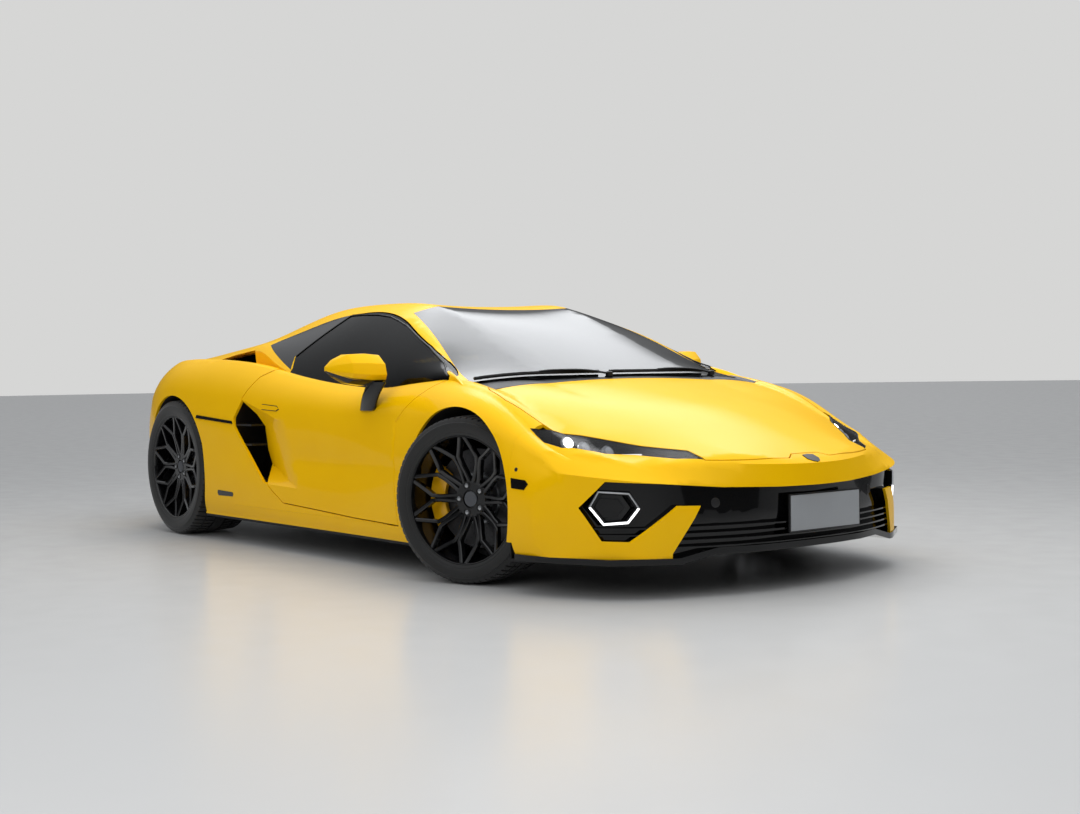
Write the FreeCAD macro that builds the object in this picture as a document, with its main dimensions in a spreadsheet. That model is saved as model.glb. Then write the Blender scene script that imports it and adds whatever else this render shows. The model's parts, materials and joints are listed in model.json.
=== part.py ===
"""Parametric model of a mid-engined two-seat supercar, in millimetres.

Origin on the ground at the middle of the length; X runs forward, Y to the left, Z up.
Body skins are lofted between feature lines, whose points are shares of the car's half
length, half width and height.  Panels are cut from the skins along named shut lines.
"""
import FreeCAD
import Part
import math
import os
from collections import namedtuple

Vector = FreeCAD.Vector
DOWN = Vector(0, 0, -1)
UP = Vector(0, 0, 1)
LEFTWARD = Vector(0, 1, 0)
FORWARD = Vector(1, 0, 0)

doc = FreeCAD.newDocument("supercar")

# Driving sizes
DRIVING_SIZES = {
    "overall_length": 4706,
    "body_width": 1996,
    "overall_height": 1201,
    "wheelbase": 2658,
    "front_overhang": 1086,
    "front_track": 1722,
    "rear_track": 1670,
    "front_tyre_diameter": 686,
    "front_tyre_width": 255,
    "rear_tyre_diameter": 728,
    "rear_tyre_width": 325,
    "front_rim_diameter": 526,
    "rear_rim_diameter": 552,
    "tyre_fit": 0.3,
    "tyre_crown": 6,
    "rim_barrel_wall": 9,
    "spoke_depth": 34,
    "spoke_width": 20,
    "spoke_count": 10,
    "wheel_hub_diameter": 172,
    "axle_bore": 62,
    "axle_fit": 0.3,
    "front_disc_diameter": 410,
    "rear_disc_diameter": 390,
    "disc_thickness": 34,
    "disc_bell_diameter": 190,
    "caliper_length_angle": 78,
    "caliper_radial": 78,
    "caliper_clearance": 5,
    "knuckle_width": 90,
    "knuckle_height": 250,
    "rest_steer_angle": 18.7,
    "front_arch_diameter": 758,
    "rear_arch_diameter": 778,
    "arch_inner_offset": 552,
    "rear_arch_inner_offset": 560,
    "liner_wall": 5,
    "skin_wall": 14,
    "roof_wall": 24,
    "glass_wall": 6,
    "shut_gap": 5,
    "seat_gap": 0.5,
    "sill_level": 132,
    "undertray_wall": 12,
    "overrun": 60,
    "arm_wall": 18,
    "arm_half_foot": 130,
    "arm_half_tip": 34,
    "front_rail_y": 480,
    "rear_rail_y": 440,
    "rail_width": 60,
    "drive_shaft_diameter": 44,
    "front_rail_end_x": 1640,
    "rear_rail_end_x": -1795,
    "bin_wall": 5,
    "bin_rear_x": 1240,
    "bin_front_x": 1860,
    "bin_floor": 330,
    "bin_top": 560,
    "seat_depth": 700,
    "seat_x": -300,
    "seat_width": 480,
    "seat_height": 760,
    "seat_y": 360,
    "dash_rear_x": 520,
    "dash_depth": 520,
    "dash_half_width": 560,
    "dash_low": 500,
    "dash_height": 270,
    "console_rear_x": -200,
    "console_top": 480,
    "wheel_hub_x": 430,
    "wheel_hub_level": 690,
    "column_tilt": 22,
    "column_diameter": 60,
    "column_length": 180,
    "column_gap": 0.3,
    "steering_dish": 50,
    "steering_rim_diameter": 350,
    "steering_rim_section": 30,
    "steering_boss_diameter": 90,
    "steering_spoke_width": 40,
    "steering_spoke_wall": 16,
    "mirror_x": 590,
    "mirror_y": 1022,
    "mirror_level": 890,
    "mirror_width": 205,
    "mirror_depth": 150,
    "mirror_height": 104,
    "stalk_width": 95,
    "stalk_wall": 34,
    "front_disc_inset": -40,
    "rear_disc_inset": 20,
    "spoke_fork_share": 0.5,
    "spoke_spread_share": 0.2,
    "bead_inset": 12,
    "tread_inset": 16,
    "knuckle_gap": 24,
    "knuckle_depth": 50,
    "caliper_over": 26,
    "caliper_half_wall": 22,
    "bracket_height": 60,
    "hub_window": 190,
    "cowl_rear_x": 1000,
    "cowl_half_width": 780,
    "cowl_level": 700,
    "tub_front_x": 1040,
    "tub_rear_x": -560,
    "tub_wall": 30,
    "footwell_half_width": 540,
    "sill_box_front_x": 860,
    "bulkhead_top": 830,
    "tunnel_half_width": 110,
    "tunnel_top": 330,
    "engine_length": 640,
    "engine_width": 660,
    "engine_height": 560,
    "keel_level": 60,
    "upper_base": 400,
    "same_place": 0.001,
    "door_hinge_x": 720,
    "door_hinge_y": 850,
    "door_inner_y": 790,
    "sill_top": 400,
    "sill_side": 880,
    "sill_inner_y": 640,
    "lamp_depth": 60,
    "tray_depth": 45,
    "tray_rim": 6,
    "front_hub_face": 51,
    "rear_hub_face": 118,
    "front_lip_face": 112,
    "rear_lip_face": 150,
    "dish_sag_share": 0.2,
    "arm_overlap": 38,
    "stalk_foot_x": 540,
    "stalk_foot_y": 925,
    "stalk_foot_level": 700,
    "stalk_top_x": 620,
    "stalk_top_y": 980,
    "stalk_top_level": 850,
    "bumper_level": 156,
    "grille_slat_count": 4,
    "grille_slat_wall": 6,
    "grille_slat_pitch": 25,
    "grille_slat_low": 190,
    "splitter_low": 132,
    "splitter_wall": 24,
    "splitter_rise": 33,
    "splitter_flat_y": 450,
    "splitter_step_y": 600,
    "splitter_rear_x": 1650,
    "undertray_front_x": 1700,
    "diffuser_front_x": -1800,
    "diffuser_rear_x": -2300,
    "diffuser_half_width": 560,
    "diffuser_top": 300,
    "diffuser_panel_top": 424,
    "diffuser_low": 150,
    "diffuser_fin_wall": 8,
    "exhaust_level": 520,
    "exhaust_y": 74,
    "exhaust_radius": 55,
    "exhaust_bore": 51,
    "exhaust_rear_x": -2340,
    "exhaust_front_x": -2200,
    "duct_rear_x": -690,
    "duct_front_x": -330,
    "duct_inner_y": 800,
    "duct_low": 330,
    "duct_top": 735,
    "duct_wall": 5,
    "blade_inner_y": 870,
    "blade_wall": 9,
    "upper_blade_level": 603,
    "lower_blade_level": 505,
    "louvre_length": 70,
    "louvre_pitch": 165,
    "louvre_front_x": -930,
    "louvre_half_width": 280,
    "louvre_count": 4,
    "hinge_plate": 10,
    "hinge_side_gap": 0.3,
    "hood_pin_x": 1120,
    "hood_pin_level": 795,
    "hood_arm_y": 500,
    "hood_arm_reach": 212,
    "cover_pin_x": -722,
    "cover_pin_level": 1092,
    "cover_arm_y": 250,
    "pin_overhang": 3,
    "door_pin_low": 380,
    "door_pin_top": 470,
    "door_pin_block": 20,
    "door_pin_block_top": 400,
    "sill_seam": 200,
    "sill_rear_x": -700,
    "glass_side_share": 0.5,
    "roof_split_x": -906,
    "fender_rear_x": 500,
    "hinge_pin_diameter": 16,
    "hinge_fit": 0.3,
    "hinge_eye_wall": 9,
}


def make_sheet(sizes):
    """Spreadsheet with one aliased row per driving size."""
    table = doc.addObject("Spreadsheet::Sheet", "Sizes")
    for line, (alias, value) in enumerate(sizes.items(), 1):
        table.set(f"A{line}", alias)
        table.set(f"B{line}", str(value))
        table.setAlias(f"B{line}", alias)
    doc.recompute()
    return table


sheet = make_sheet(DRIVING_SIZES)


def mm(alias):
    """A driving size, read back from the sheet."""
    return float(getattr(sheet, alias))


half_length = mm("overall_length") / 2
half_width = mm("body_width") / 2
height = mm("overall_height")
front_axle_x = half_length - mm("front_overhang")
rear_axle_x = front_axle_x - mm("wheelbase")
overrun = mm("overrun")
skin_wall = mm("skin_wall")
shut_gap = mm("shut_gap")

# Stations along the length at which every feature line is sampled
station_shares = (
    1.041, 1, 0.97, 0.935, 0.9, 0.86, 0.82, 0.78, 0.735, 0.69, 0.64, 0.59, 0.54, 0.485, 0.43, 0.375,
    0.315, 0.25, 0.18, 0.11, 0.035, -0.04, -0.12, -0.2, -0.28, -0.36, -0.44, -0.515, -0.59, -0.665,
    -0.74, -0.81, -0.875, -0.93, -0.98, -1.041,
)
upper_station_shares = tuple(share for share in station_shares if share < 0.7)

# Feature lines of the lower body, from the middle of the hood down to the sill
hood_centre_shares = (
    (1.041, 0, 0.375), (1, 0, 0.406), (0.974, 0, 0.429), (0.914, 0, 0.475), (0.841, 0, 0.525),
    (0.744, 0, 0.585), (0.637, 0, 0.638), (0.514, 0, 0.689), (0.382, 0, 0.716), (0.127, 0, 0.723),
    (-0.17, 0, 0.723), (-0.467, 0, 0.729), (-0.722, 0, 0.741), (-0.956, 0, 0.737), (-1.041, 0, 0.729),
)
hood_crease_shares = (
    (1.041, 0.381, 0.358), (0.977, 0.331, 0.421), (0.914, 0.346, 0.463), (0.841, 0.401, 0.504),
    (0.722, 0.441, 0.58), (0.616, 0.461, 0.634), (0.514, 0.481, 0.679), (0.382, 0.501, 0.704),
    (0.127, 0.501, 0.709), (-0.17, 0.501, 0.713), (-0.467, 0.501, 0.726), (-0.722, 0.481, 0.741),
    (-0.956, 0.461, 0.736), (-1.041, 0.451, 0.728),
)
hood_side_shares = (
    (1.041, 0.561, 0.312), (0.92, 0.641, 0.4), (0.85, 0.706, 0.433), (0.786, 0.757, 0.475),
    (0.722, 0.78, 0.523), (0.637, 0.777, 0.598), (0.538, 0.764, 0.655), (0.467, 0.754, 0.681),
    (0.382, 0.736, 0.695), (0.127, 0.721, 0.695), (-0.127, 0.721, 0.708), (-0.297, 0.726, 0.737),
    (-0.467, 0.721, 0.762), (-0.637, 0.716, 0.766), (-0.807, 0.671, 0.754), (-0.956, 0.631, 0.737),
    (-1.041, 0.611, 0.724),
)
peak_shares = (
    (1.041, 0.701, 0.275), (0.914, 0.792, 0.358), (0.85, 0.832, 0.4), (0.786, 0.864, 0.445),
    (0.722, 0.875, 0.498), (0.637, 0.868, 0.588), (0.538, 0.852, 0.653), (0.459, 0.842, 0.674),
    (0.399, 0.836, 0.679), (0.255, 0.847, 0.658), (0.11, 0.85, 0.664), (-0.038, 0.855, 0.693),
    (-0.166, 0.864, 0.726), (-0.276, 0.874, 0.758), (-0.404, 0.888, 0.779), (-0.531, 0.89, 0.787),
    (-0.637, 0.868, 0.784), (-0.765, 0.792, 0.758), (-0.892, 0.686, 0.718), (-1.041, 0.561, 0.649),
)
shoulder_shares = (
    (1.041, 0.741, 0.241), (0.914, 0.842, 0.321), (0.85, 0.895, 0.358), (0.786, 0.934, 0.404),
    (0.722, 0.955, 0.454), (0.663, 0.97, 0.508), (0.603, 0.978, 0.56), (0.538, 0.98, 0.585),
    (0.467, 0.97, 0.576), (0.399, 0.95, 0.56), (0.255, 0.927, 0.543), (0.11, 0.932, 0.551),
    (-0.038, 0.944, 0.568), (-0.166, 0.96, 0.586), (-0.297, 0.975, 0.603), (-0.425, 0.99, 0.624),
    (-0.51, 0.995, 0.644), (-0.591, 0.993, 0.656), (-0.68, 0.972, 0.646), (-0.786, 0.904, 0.614),
    (-0.892, 0.8, 0.586), (-1.041, 0.656, 0.541),
)
flank_shares = (
    (1.041, 0.741, 0.2), (0.914, 0.852, 0.266), (0.85, 0.917, 0.291), (0.786, 0.962, 0.316),
    (0.722, 0.986, 0.35), (0.637, 0.996, 0.366), (0.538, 0.999, 0.375), (0.425, 0.98, 0.375),
    (0.255, 0.944, 0.375), (0, 0.94, 0.376), (-0.166, 0.964, 0.391), (-0.297, 0.989, 0.401),
    (-0.425, 0.997, 0.416), (-0.591, 1, 0.433), (-0.722, 0.966, 0.433), (-0.85, 0.86, 0.433),
    (-1.041, 0.691, 0.416),
)
low_flank_shares = (
    (1.041, 0.721, 0.15), (0.914, 0.834, 0.171), (0.85, 0.904, 0.177), (0.786, 0.954, 0.18),
    (0.722, 0.978, 0.18), (0.637, 0.988, 0.179), (0.538, 0.988, 0.179), (0.425, 0.973, 0.179),
    (0.255, 0.958, 0.18), (0, 0.958, 0.183), (-0.166, 0.968, 0.188), (-0.297, 0.978, 0.193),
    (-0.425, 0.988, 0.198), (-0.591, 0.986, 0.204), (-0.722, 0.944, 0.218), (-0.85, 0.832, 0.243),
    (-1.041, 0.681, 0.266),
)
hem_shares = (
    (1.041, 0.701, 0.1), (0.914, 0.807, 0.103), (0.85, 0.868, 0.105), (0.786, 0.916, 0.107),
    (0.722, 0.94, 0.108), (0.637, 0.95, 0.108), (0.538, 0.95, 0.108), (0.425, 0.944, 0.108),
    (0.255, 0.939, 0.11), (0, 0.943, 0.113), (-0.166, 0.948, 0.117), (-0.297, 0.952, 0.118),
    (-0.425, 0.957, 0.12), (-0.591, 0.95, 0.123), (-0.722, 0.91, 0.129), (-0.85, 0.812, 0.154),
    (-1.041, 0.666, 0.183),
)
roof_centre_shares = (
    (0.722, 0, 0.5), (0.616, 0, 0.596), (0.514, 0, 0.687), (0.382, 0, 0.799), (0.255, 0, 0.898),
    (0.134, 0, 0.968), (0.021, 0, 0.988), (-0.127, 0, 0.979), (-0.297, 0, 0.924), (-0.51, 0, 0.833),
    (-0.722, 0, 0.781), (-0.956, 0, 0.77), (-1.041, 0, 0.762),
)
roof_bubble_shares = (
    (0.722, 0.331, 0.496), (0.616, 0.401, 0.59), (0.514, 0.441, 0.679), (0.382, 0.421, 0.793),
    (0.255, 0.401, 0.896), (0.134, 0.396, 0.978), (0.021, 0.416, 0.999), (-0.064, 0.431, 1),
    (-0.201, 0.449, 0.987), (-0.374, 0.456, 0.93), (-0.533, 0.457, 0.871), (-0.704, 0.451, 0.833),
    (-0.857, 0.441, 0.804), (-0.956, 0.431, 0.788), (-1.041, 0.421, 0.774),
)
rail_shares = (
    (0.722, 0.782, 0.466), (0.616, 0.832, 0.566), (0.514, 0.834, 0.656), (0.429, 0.778, 0.7),
    (0.297, 0.693, 0.819), (0.178, 0.623, 0.907), (0.085, 0.578, 0.949), (-0.042, 0.563, 0.963),
    (-0.191, 0.567, 0.938), (-0.297, 0.591, 0.893), (-0.382, 0.629, 0.848), (-0.51, 0.649, 0.809),
    (-0.68, 0.637, 0.781), (-0.85, 0.591, 0.754), (-1.041, 0.531, 0.724),
)
belt_shares = (
    (0.722, 0.802, 0.391), (0.616, 0.852, 0.491), (0.514, 0.852, 0.616), (0.442, 0.814, 0.684),
    (0.399, 0.818, 0.691), (0.341, 0.826, 0.675), (0.255, 0.84, 0.658), (0.11, 0.844, 0.665),
    (-0.038, 0.848, 0.694), (-0.166, 0.838, 0.731), (-0.276, 0.792, 0.787), (-0.382, 0.741, 0.82),
    (-0.51, 0.731, 0.783), (-0.68, 0.691, 0.749), (-0.85, 0.621, 0.716), (-1.041, 0.541, 0.679),
)
skirt_shares = (
    (0.722, 0.782, 0.316), (0.616, 0.802, 0.383), (0.514, 0.802, 0.466), (0.399, 0.782, 0.533),
    (0.255, 0.792, 0.533), (0.11, 0.797, 0.541), (-0.038, 0.802, 0.566), (-0.166, 0.797, 0.6),
    (-0.276, 0.762, 0.633), (-0.382, 0.721, 0.649), (-0.51, 0.701, 0.649), (-0.68, 0.651, 0.641),
    (-0.85, 0.581, 0.624), (-1.041, 0.501, 0.6),
)

# How far each strip between two lines bulges, as a share of the half width
lower_crown_shares = (0.006, 0.011, 0.02, 0.006, 0.006, 0.005, 0)
upper_crown_shares = (0.004, 0.02, 0, 0)


def natural_cubic(knots, values):
    """Natural cubic through the values, straight beyond the ends."""
    count = len(knots)
    step = [b - a for a, b in zip(knots, knots[1:])]
    slope = [(b - a) / s for a, b, s in zip(values, values[1:], step)]
    diagonal = [1.0] + [2 * (a + b) for a, b in zip(step, step[1:])] + [1.0]
    right = [0.0] + [6 * (b - a) for a, b in zip(slope, slope[1:])] + [0.0]
    upper = [0.0] + step[1:] + [0.0]
    for i in range(1, count - 1):
        if i > 1:
            factor = step[i - 1] / diagonal[i - 1]
            diagonal[i] -= factor * upper[i - 1]
            right[i] -= factor * right[i - 1]
    bend = [0.0] * count
    for i in range(count - 2, 0, -1):
        bend[i] = (right[i] - upper[i] * bend[i + 1]) / diagonal[i]

    def value(at):
        i = 0
        while i < count - 2 and at > knots[i + 1]:
            i += 1
        near = min(max(at, knots[i]), knots[i + 1])
        left, rest, span = near - knots[i], knots[i + 1] - near, step[i]
        curve = (bend[i] * rest ** 3 + bend[i + 1] * left ** 3) / (6 * span)
        curve += (values[i] / span - bend[i] * span / 6) * rest
        curve += (values[i + 1] / span - bend[i + 1] * span / 6) * left
        tangent = slope[i] + (bend[i + 1] * (3 * left ** 2 - span ** 2)
                              - bend[i] * (3 * rest ** 2 - span ** 2)) / (6 * span)
        return curve + tangent * (at - near)

    return value


def place(x_share, y_share, z_share):
    """Point from shares of the half length, half width and height."""
    return Vector(x_share * half_length, y_share * half_width, z_share * height)


def sampled(points, at_shares, along):
    """Feature line sampled by a natural cubic at shares of coordinate number along."""
    ordered = sorted(points, key=lambda point: point[along])
    knots = [point[along] for point in ordered]
    curves = [natural_cubic(knots, [point[k] for point in ordered]) for k in range(3)]
    row = []
    for at in at_shares:
        shares = [at if k == along else curves[k](at) for k in range(3)]
        row.append(place(*shares))
    return row


def mirrored(row):
    """The same points on the car's other side."""
    return [Vector(point.x, -point.y, point.z) for point in row]


def spline_through(row):
    """Cubic through a row of points with evenly numbered knots."""
    curve = Part.BSplineCurve()
    curve.interpolate(Points=row, Parameters=[float(i) for i in range(len(row))])
    return curve


def strip(first, control, last):
    """Face between two rows, bent across by the control row."""
    curves = [spline_through(row) for row in (first, control, last)]
    poles = [list(points) for points in zip(*(curve.getPoles() for curve in curves))]
    surface = Part.BSplineSurface()
    surface.buildFromPolesMultsKnots(
        poles, curves[0].getMultiplicities(), [3, 3], curves[0].getKnots(), [0.0, 1.0],
        False, False, curves[0].Degree, 2)
    return surface.toShape()


def outward(before, after):
    """Unit normal, in the cross-section plane, of the chord between two points."""
    chord = after - before
    normal = Vector(0, -chord.z, chord.y)
    return normal.normalize()


def inset_rows(rows, depth):
    """Rows moved inwards by a depth along the section's normals."""
    moved = []
    for i, row in enumerate(rows):
        line = []
        for j, point in enumerate(row):
            before = rows[i - 1][j] if i else Vector(point.x, -rows[1][j].y, rows[1][j].z)
            after = rows[i + 1][j] if i + 1 < len(rows) else point + DOWN * skin_wall
            line.append(point - outward(before, after) * depth)
        moved.append(line)
    return moved


def crowned(first, last, crown):
    """Control row that bulges a strip outwards by the crown at its middle."""
    return [(a + b) / 2 + outward(a, b) * (2 * crown) for a, b in zip(first, last)]


def outward_solid(shell):
    """Solid inside a closed shell, with its faces pointing out."""
    solid = Part.Solid(shell)
    if solid.Volume < 0:
        solid.reverse()
    return solid


def skin_solid(rows, crown_shares, base_level):
    """Closed solid under symmetric skin strips, with a flat base and flat ends."""
    middle, edge = rows[0], rows[1]
    far_edge = mirrored(edge)
    control = [point * 2 - (a + b) / 2 for point, a, b in zip(middle, edge, far_edge)]
    faces = [strip(edge, control, far_edge)]
    base = [Vector(point.x, point.y, base_level) for point in rows[-1]]
    sides = list(rows[1:]) + [base]
    crowns = [share * half_width for share in crown_shares]
    for first, last, crown in zip(sides, sides[1:], crowns):
        bend = crowned(first, last, crown)
        faces.append(strip(first, bend, last))
        faces.append(strip(mirrored(first), mirrored(bend), mirrored(last)))
    skins = list(faces)
    far_base = mirrored(base)
    sole = [spline_through(base).toShape(), spline_through(far_base).toShape(),
            Part.makeLine(base[0], far_base[0]), Part.makeLine(base[-1], far_base[-1])]
    faces.append(Part.Face(Part.Wire(Part.__sortEdges__(sole))))
    for end in (0, -1):
        level = middle[end].x
        edges = [edge for skin in skins for edge in skin.Edges
                 if all(abs(vertex.X - level) < mm("same_place") for vertex in edge.Vertexes)]
        edges.append(Part.makeLine(base[end], far_base[end]))
        faces.append(Part.Face(Part.Wire(Part.__sortEdges__(edges))))
    shell = Part.Shell(faces)
    shell.sewShape()
    return outward_solid(shell)

# Lines of the nose and tail faces, from the ground up
nose_keel_shares = (
    (0.965, 0, 0), (0.954, 0.251, 0), (0.905, 0.601, 0), (0.829, 0.842, 0), (0.722, 0.987, 0),
    (0.51, 1.202, 0),
)
nose_lip_shares = (
    (0.985, 0, 0.125), (0.977, 0.301, 0.125), (0.933, 0.601, 0.125), (0.85, 0.842, 0.125),
    (0.731, 0.987, 0.125), (0.51, 1.202, 0.125),
)
nose_mouth_shares = (
    (0.997, 0, 0.25), (0.987, 0.251, 0.25), (0.946, 0.561, 0.25), (0.863, 0.822, 0.25),
    (0.748, 0.987, 0.25), (0.51, 1.202, 0.25),
)
nose_edge_shares = (
    (1, 0, 0.337), (0.99, 0.2, 0.34), (0.952, 0.501, 0.354), (0.884, 0.782, 0.375),
    (0.822, 0.892, 0.391), (0.748, 0.987, 0.4), (0.51, 1.202, 0.4),
)
nose_brow_shares = (
    (0.997, 0, 0.408), (0.985, 0.2, 0.41), (0.947, 0.431, 0.418), (0.867, 0.701, 0.426),
    (0.79, 0.852, 0.45), (0.701, 1.002, 0.466), (0.467, 1.202, 0.466),
)
nose_crown_shares = (
    (0.956, 0, 0.466), (0.946, 0.2, 0.466), (0.901, 0.431, 0.479), (0.833, 0.641, 0.491),
    (0.748, 0.852, 0.533), (0.637, 1.002, 0.566), (0.425, 1.202, 0.566),
)
nose_top_shares = (
    (0.574, 0, 1.024), (0.565, 0.2, 1.024), (0.531, 0.431, 1.024), (0.467, 0.691, 1.024),
    (0.361, 0.852, 1.024), (0.276, 1.002, 1.024), (0.106, 1.202, 1.024),
)
tail_keel_shares = (
    (-0.892, 0, 0), (-0.888, 0.301, 0), (-0.867, 0.561, 0), (-0.829, 0.772, 0), (-0.765, 0.932, 0),
    (-0.68, 1.202, 0),
)
tail_low_shares = (
    (-0.956, 0, 0.192), (-0.952, 0.301, 0.192), (-0.929, 0.561, 0.192), (-0.88, 0.782, 0.192),
    (-0.807, 0.942, 0.192), (-0.705, 1.202, 0.192),
)
tail_bumper_shares = (
    (-1, 0, 0.366), (-0.997, 0.301, 0.366), (-0.973, 0.561, 0.366), (-0.914, 0.792, 0.366),
    (-0.837, 0.942, 0.366), (-0.731, 1.202, 0.366),
)
tail_panel_shares = (
    (-0.986, 0, 0.533), (-0.983, 0.301, 0.533), (-0.96, 0.561, 0.533), (-0.905, 0.792, 0.533),
    (-0.833, 0.942, 0.533), (-0.731, 1.202, 0.533),
)
tail_brow_shares = (
    (-0.985, 0, 0.716), (-0.983, 0.301, 0.716), (-0.96, 0.561, 0.709), (-0.903, 0.792, 0.695),
    (-0.831, 0.942, 0.67), (-0.731, 1.202, 0.666),
)
tail_top_shares = (
    (-0.999, 0, 1.024), (-0.994, 0.301, 1.024), (-0.969, 0.561, 1.024), (-0.909, 0.792, 1.024),
    (-0.833, 0.942, 1.024), (-0.731, 1.202, 1.024),
)

across_shares = (-1.2, -1, -0.9, -0.78, -0.62, -0.45, -0.25, 0, 0.25, 0.45, 0.62, 0.78, 0.9, 1, 1.2)


def both_sides(points):
    """Left points of a cross line followed by their mirror images."""
    return [(x, -y, z) for x, y, z in reversed(points) if y] + list(points)


def planar_face(edges):
    """Flat face inside the edges, given in any order."""
    return Part.Face(Part.Wire(Part.__sortEdges__(edges)))


def end_rows(lines, inset):
    """Rows of a nose or tail face, moved along the car by the inset."""
    rows = [sampled(both_sides(line), across_shares, 1) for line in lines]
    return [[point + FORWARD * inset for point in row] for row in rows]


def end_strips(rows):
    """Faces between the rows of a nose or tail face."""
    return [strip(low, [(a + b) / 2 for a, b in zip(low, high)], high)
            for low, high in zip(rows, rows[1:])]


nose_lines = (nose_keel_shares, nose_lip_shares, nose_mouth_shares, nose_edge_shares,
              nose_brow_shares, nose_crown_shares, nose_top_shares)
tail_lines = (tail_keel_shares, tail_low_shares, tail_bumper_shares, tail_panel_shares,
              tail_brow_shares, tail_top_shares)


def end_mask(inset):
    """Solid between the nose and tail faces, taller and wider than the body."""
    nose = end_rows(nose_lines, -inset)
    tail = end_rows(tail_lines, inset)
    faces = end_strips(nose) + end_strips(tail)
    for level in (0, -1):
        front, back = nose[level], tail[level]
        faces.append(planar_face([
            spline_through(front).toShape(), spline_through(back).toShape(),
            Part.makeLine(front[0], back[0]), Part.makeLine(front[-1], back[-1])]))
    for side in (0, -1):
        edges = [Part.makeLine(row[side], high[side]) for rows in (nose, tail)
                 for row, high in zip(rows, rows[1:])]
        edges += [Part.makeLine(nose[level][side], tail[level][side]) for level in (0, -1)]
        faces.append(planar_face(edges))
    shell = Part.Shell(faces)
    shell.sewShape()
    return outward_solid(shell)


lower_rows = [sampled(line, station_shares, 0) for line in (
    hood_centre_shares, hood_crease_shares, hood_side_shares, peak_shares, shoulder_shares,
    flank_shares, low_flank_shares, hem_shares)]
upper_rows = [sampled(line, upper_station_shares, 0) for line in (
    roof_centre_shares, roof_bubble_shares, rail_shares, belt_shares, skirt_shares)]
keel = mm("keel_level")


def lower_solid(depth):
    """Lower body inside its skin by a depth."""
    base = keel - (overrun if depth else 0)
    return skin_solid(inset_rows(lower_rows, depth) if depth else lower_rows,
                      lower_crown_shares, base).common(end_mask(depth))


def upper_solid(depth):
    """Greenhouse and rear deck inside their skin by a depth."""
    base = keel + mm("upper_base") - (overrun if depth else 0)
    return skin_solid(inset_rows(upper_rows, depth) if depth else upper_rows,
                      upper_crown_shares, base).common(end_mask(depth))


def closed_wire(points, normal_axis, level):
    """Closed wire from share points in the plane across one axis; a pair of points is an arc."""
    def spot(point):
        first, second = point
        if normal_axis == 2:
            return Vector(first * half_length, second * half_width, level)
        if normal_axis == 1:
            return Vector(first * half_length, level, second * height)
        return Vector(level, first * half_width, second * height)

    edges = []
    start = previous = spot(points[0])
    for point in list(points[1:]) + [None]:
        if point is None:
            edges.append(Part.makeLine(previous, start))
        elif isinstance(point[0], tuple):
            middle, end = spot(point[0]), spot(point[1])
            edges.append(Part.Arc(previous, middle, end).toShape())
            previous = end
        else:
            end = spot(point)
            edges.append(Part.makeLine(previous, end))
            previous = end
    return Part.Wire(edges)


AXIS_VECTORS = (FORWARD, LEFTWARD, UP)


def prism(points, normal_axis, low, high, grow=0):
    """Solid over an outline of shares, from one level to another, grown by an offset."""
    wire = closed_wire(points, normal_axis, low)
    if grow:
        wire = wire.makeOffset2D(grow, join=2)
    return Part.Face(wire).extrude(AXIS_VECTORS[normal_axis] * (high - low))


def box(x_low, x_high, y_low, y_high, z_low, z_high):
    """Box between two corners."""
    return Part.makeBox(x_high - x_low, y_high - y_low, z_high - z_low, Vector(x_low, y_low, z_low))


def mirror(shape):
    """The same shape on the car's other side."""
    return shape.mirror(Vector(0, 0, 0), LEFTWARD)


def single(shape):
    """The largest solid of a shape, as the pieces too small to be real fall away."""
    solids = sorted(shape.Solids, key=lambda solid: solid.Volume)
    if not solids:
        raise ValueError("a cut left no solid")
    return solids[-1]


parts = {}


def add_shape(label, shape, placement=None):
    """Feature of the document that holds one sub-part."""
    feature = doc.addObject("Part::Feature", label)
    feature.Label = label
    feature.Shape = shape
    feature.Placement = placement or FreeCAD.Placement()
    parts[label] = feature
    return feature


# Shut lines, in shares of the half length, half width and height
hood_plan_shares = (
    (0.964, 0.075), (0.976, 0.115), ((0.959, 0.314), (0.931, 0.461)), (0.893, 0.466), (0.836, 0.587),
    (0.753, 0.73), (0.721, 0.804), (0.669, 0.821), (0.609, 0.835), (0.555, 0.82), (0.54, 0.8),
    ((0.529, 0), (0.54, -0.8)), (0.555, -0.82), (0.609, -0.835), (0.669, -0.821), (0.721, -0.804),
    (0.753, -0.73), (0.836, -0.587), (0.893, -0.466), (0.931, -0.461),
    ((0.959, -0.314), (0.976, -0.115)), (0.964, -0.075),
)
headlamp_plan_shares = (
    (0.694, 0.868), (0.71, 0.843), (0.721, 0.804), (0.753, 0.73), (0.795, 0.661), (0.836, 0.587),
    (0.865, 0.523), (0.893, 0.466), (0.931, 0.461), (0.902, 0.549), (0.876, 0.601), (0.851, 0.649),
    (0.8, 0.782), (0.767, 0.849), (0.734, 0.873), (0.715, 0.872),
)
door_side_shares = (
    (0.46, 0.72), (0.43, 0.19), (0.36, 0.17), (0.182, 0.177), (-0.09, 0.2), (-0.134, 0.244),
    (-0.165, 0.285), (-0.2, 0.34), (-0.222, 0.4), (-0.225, 0.55), (-0.262, 0.605), (-0.262, 0.618),
    (-0.222, 0.705), (-0.19, 0.735), (-0.19, 0.9), (0.46, 0.9),
)
door_glass_side_shares = (
    (0.42, 0.66), (0.423, 0.702), (0.3, 0.81), (0.178, 0.9), ((0.085, 0.946), (-0.04, 0.957)),
    (-0.085, 0.955), (-0.165, 0.79), (-0.145, 0.74), (-0.145, 0.6), (0.42, 0.6),
)
quarter_glass_side_shares = (
    (-0.088, 0.956), ((-0.225, 0.912), (-0.323, 0.842)), (-0.15, 0.735), (-0.168, 0.79),
)
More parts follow.
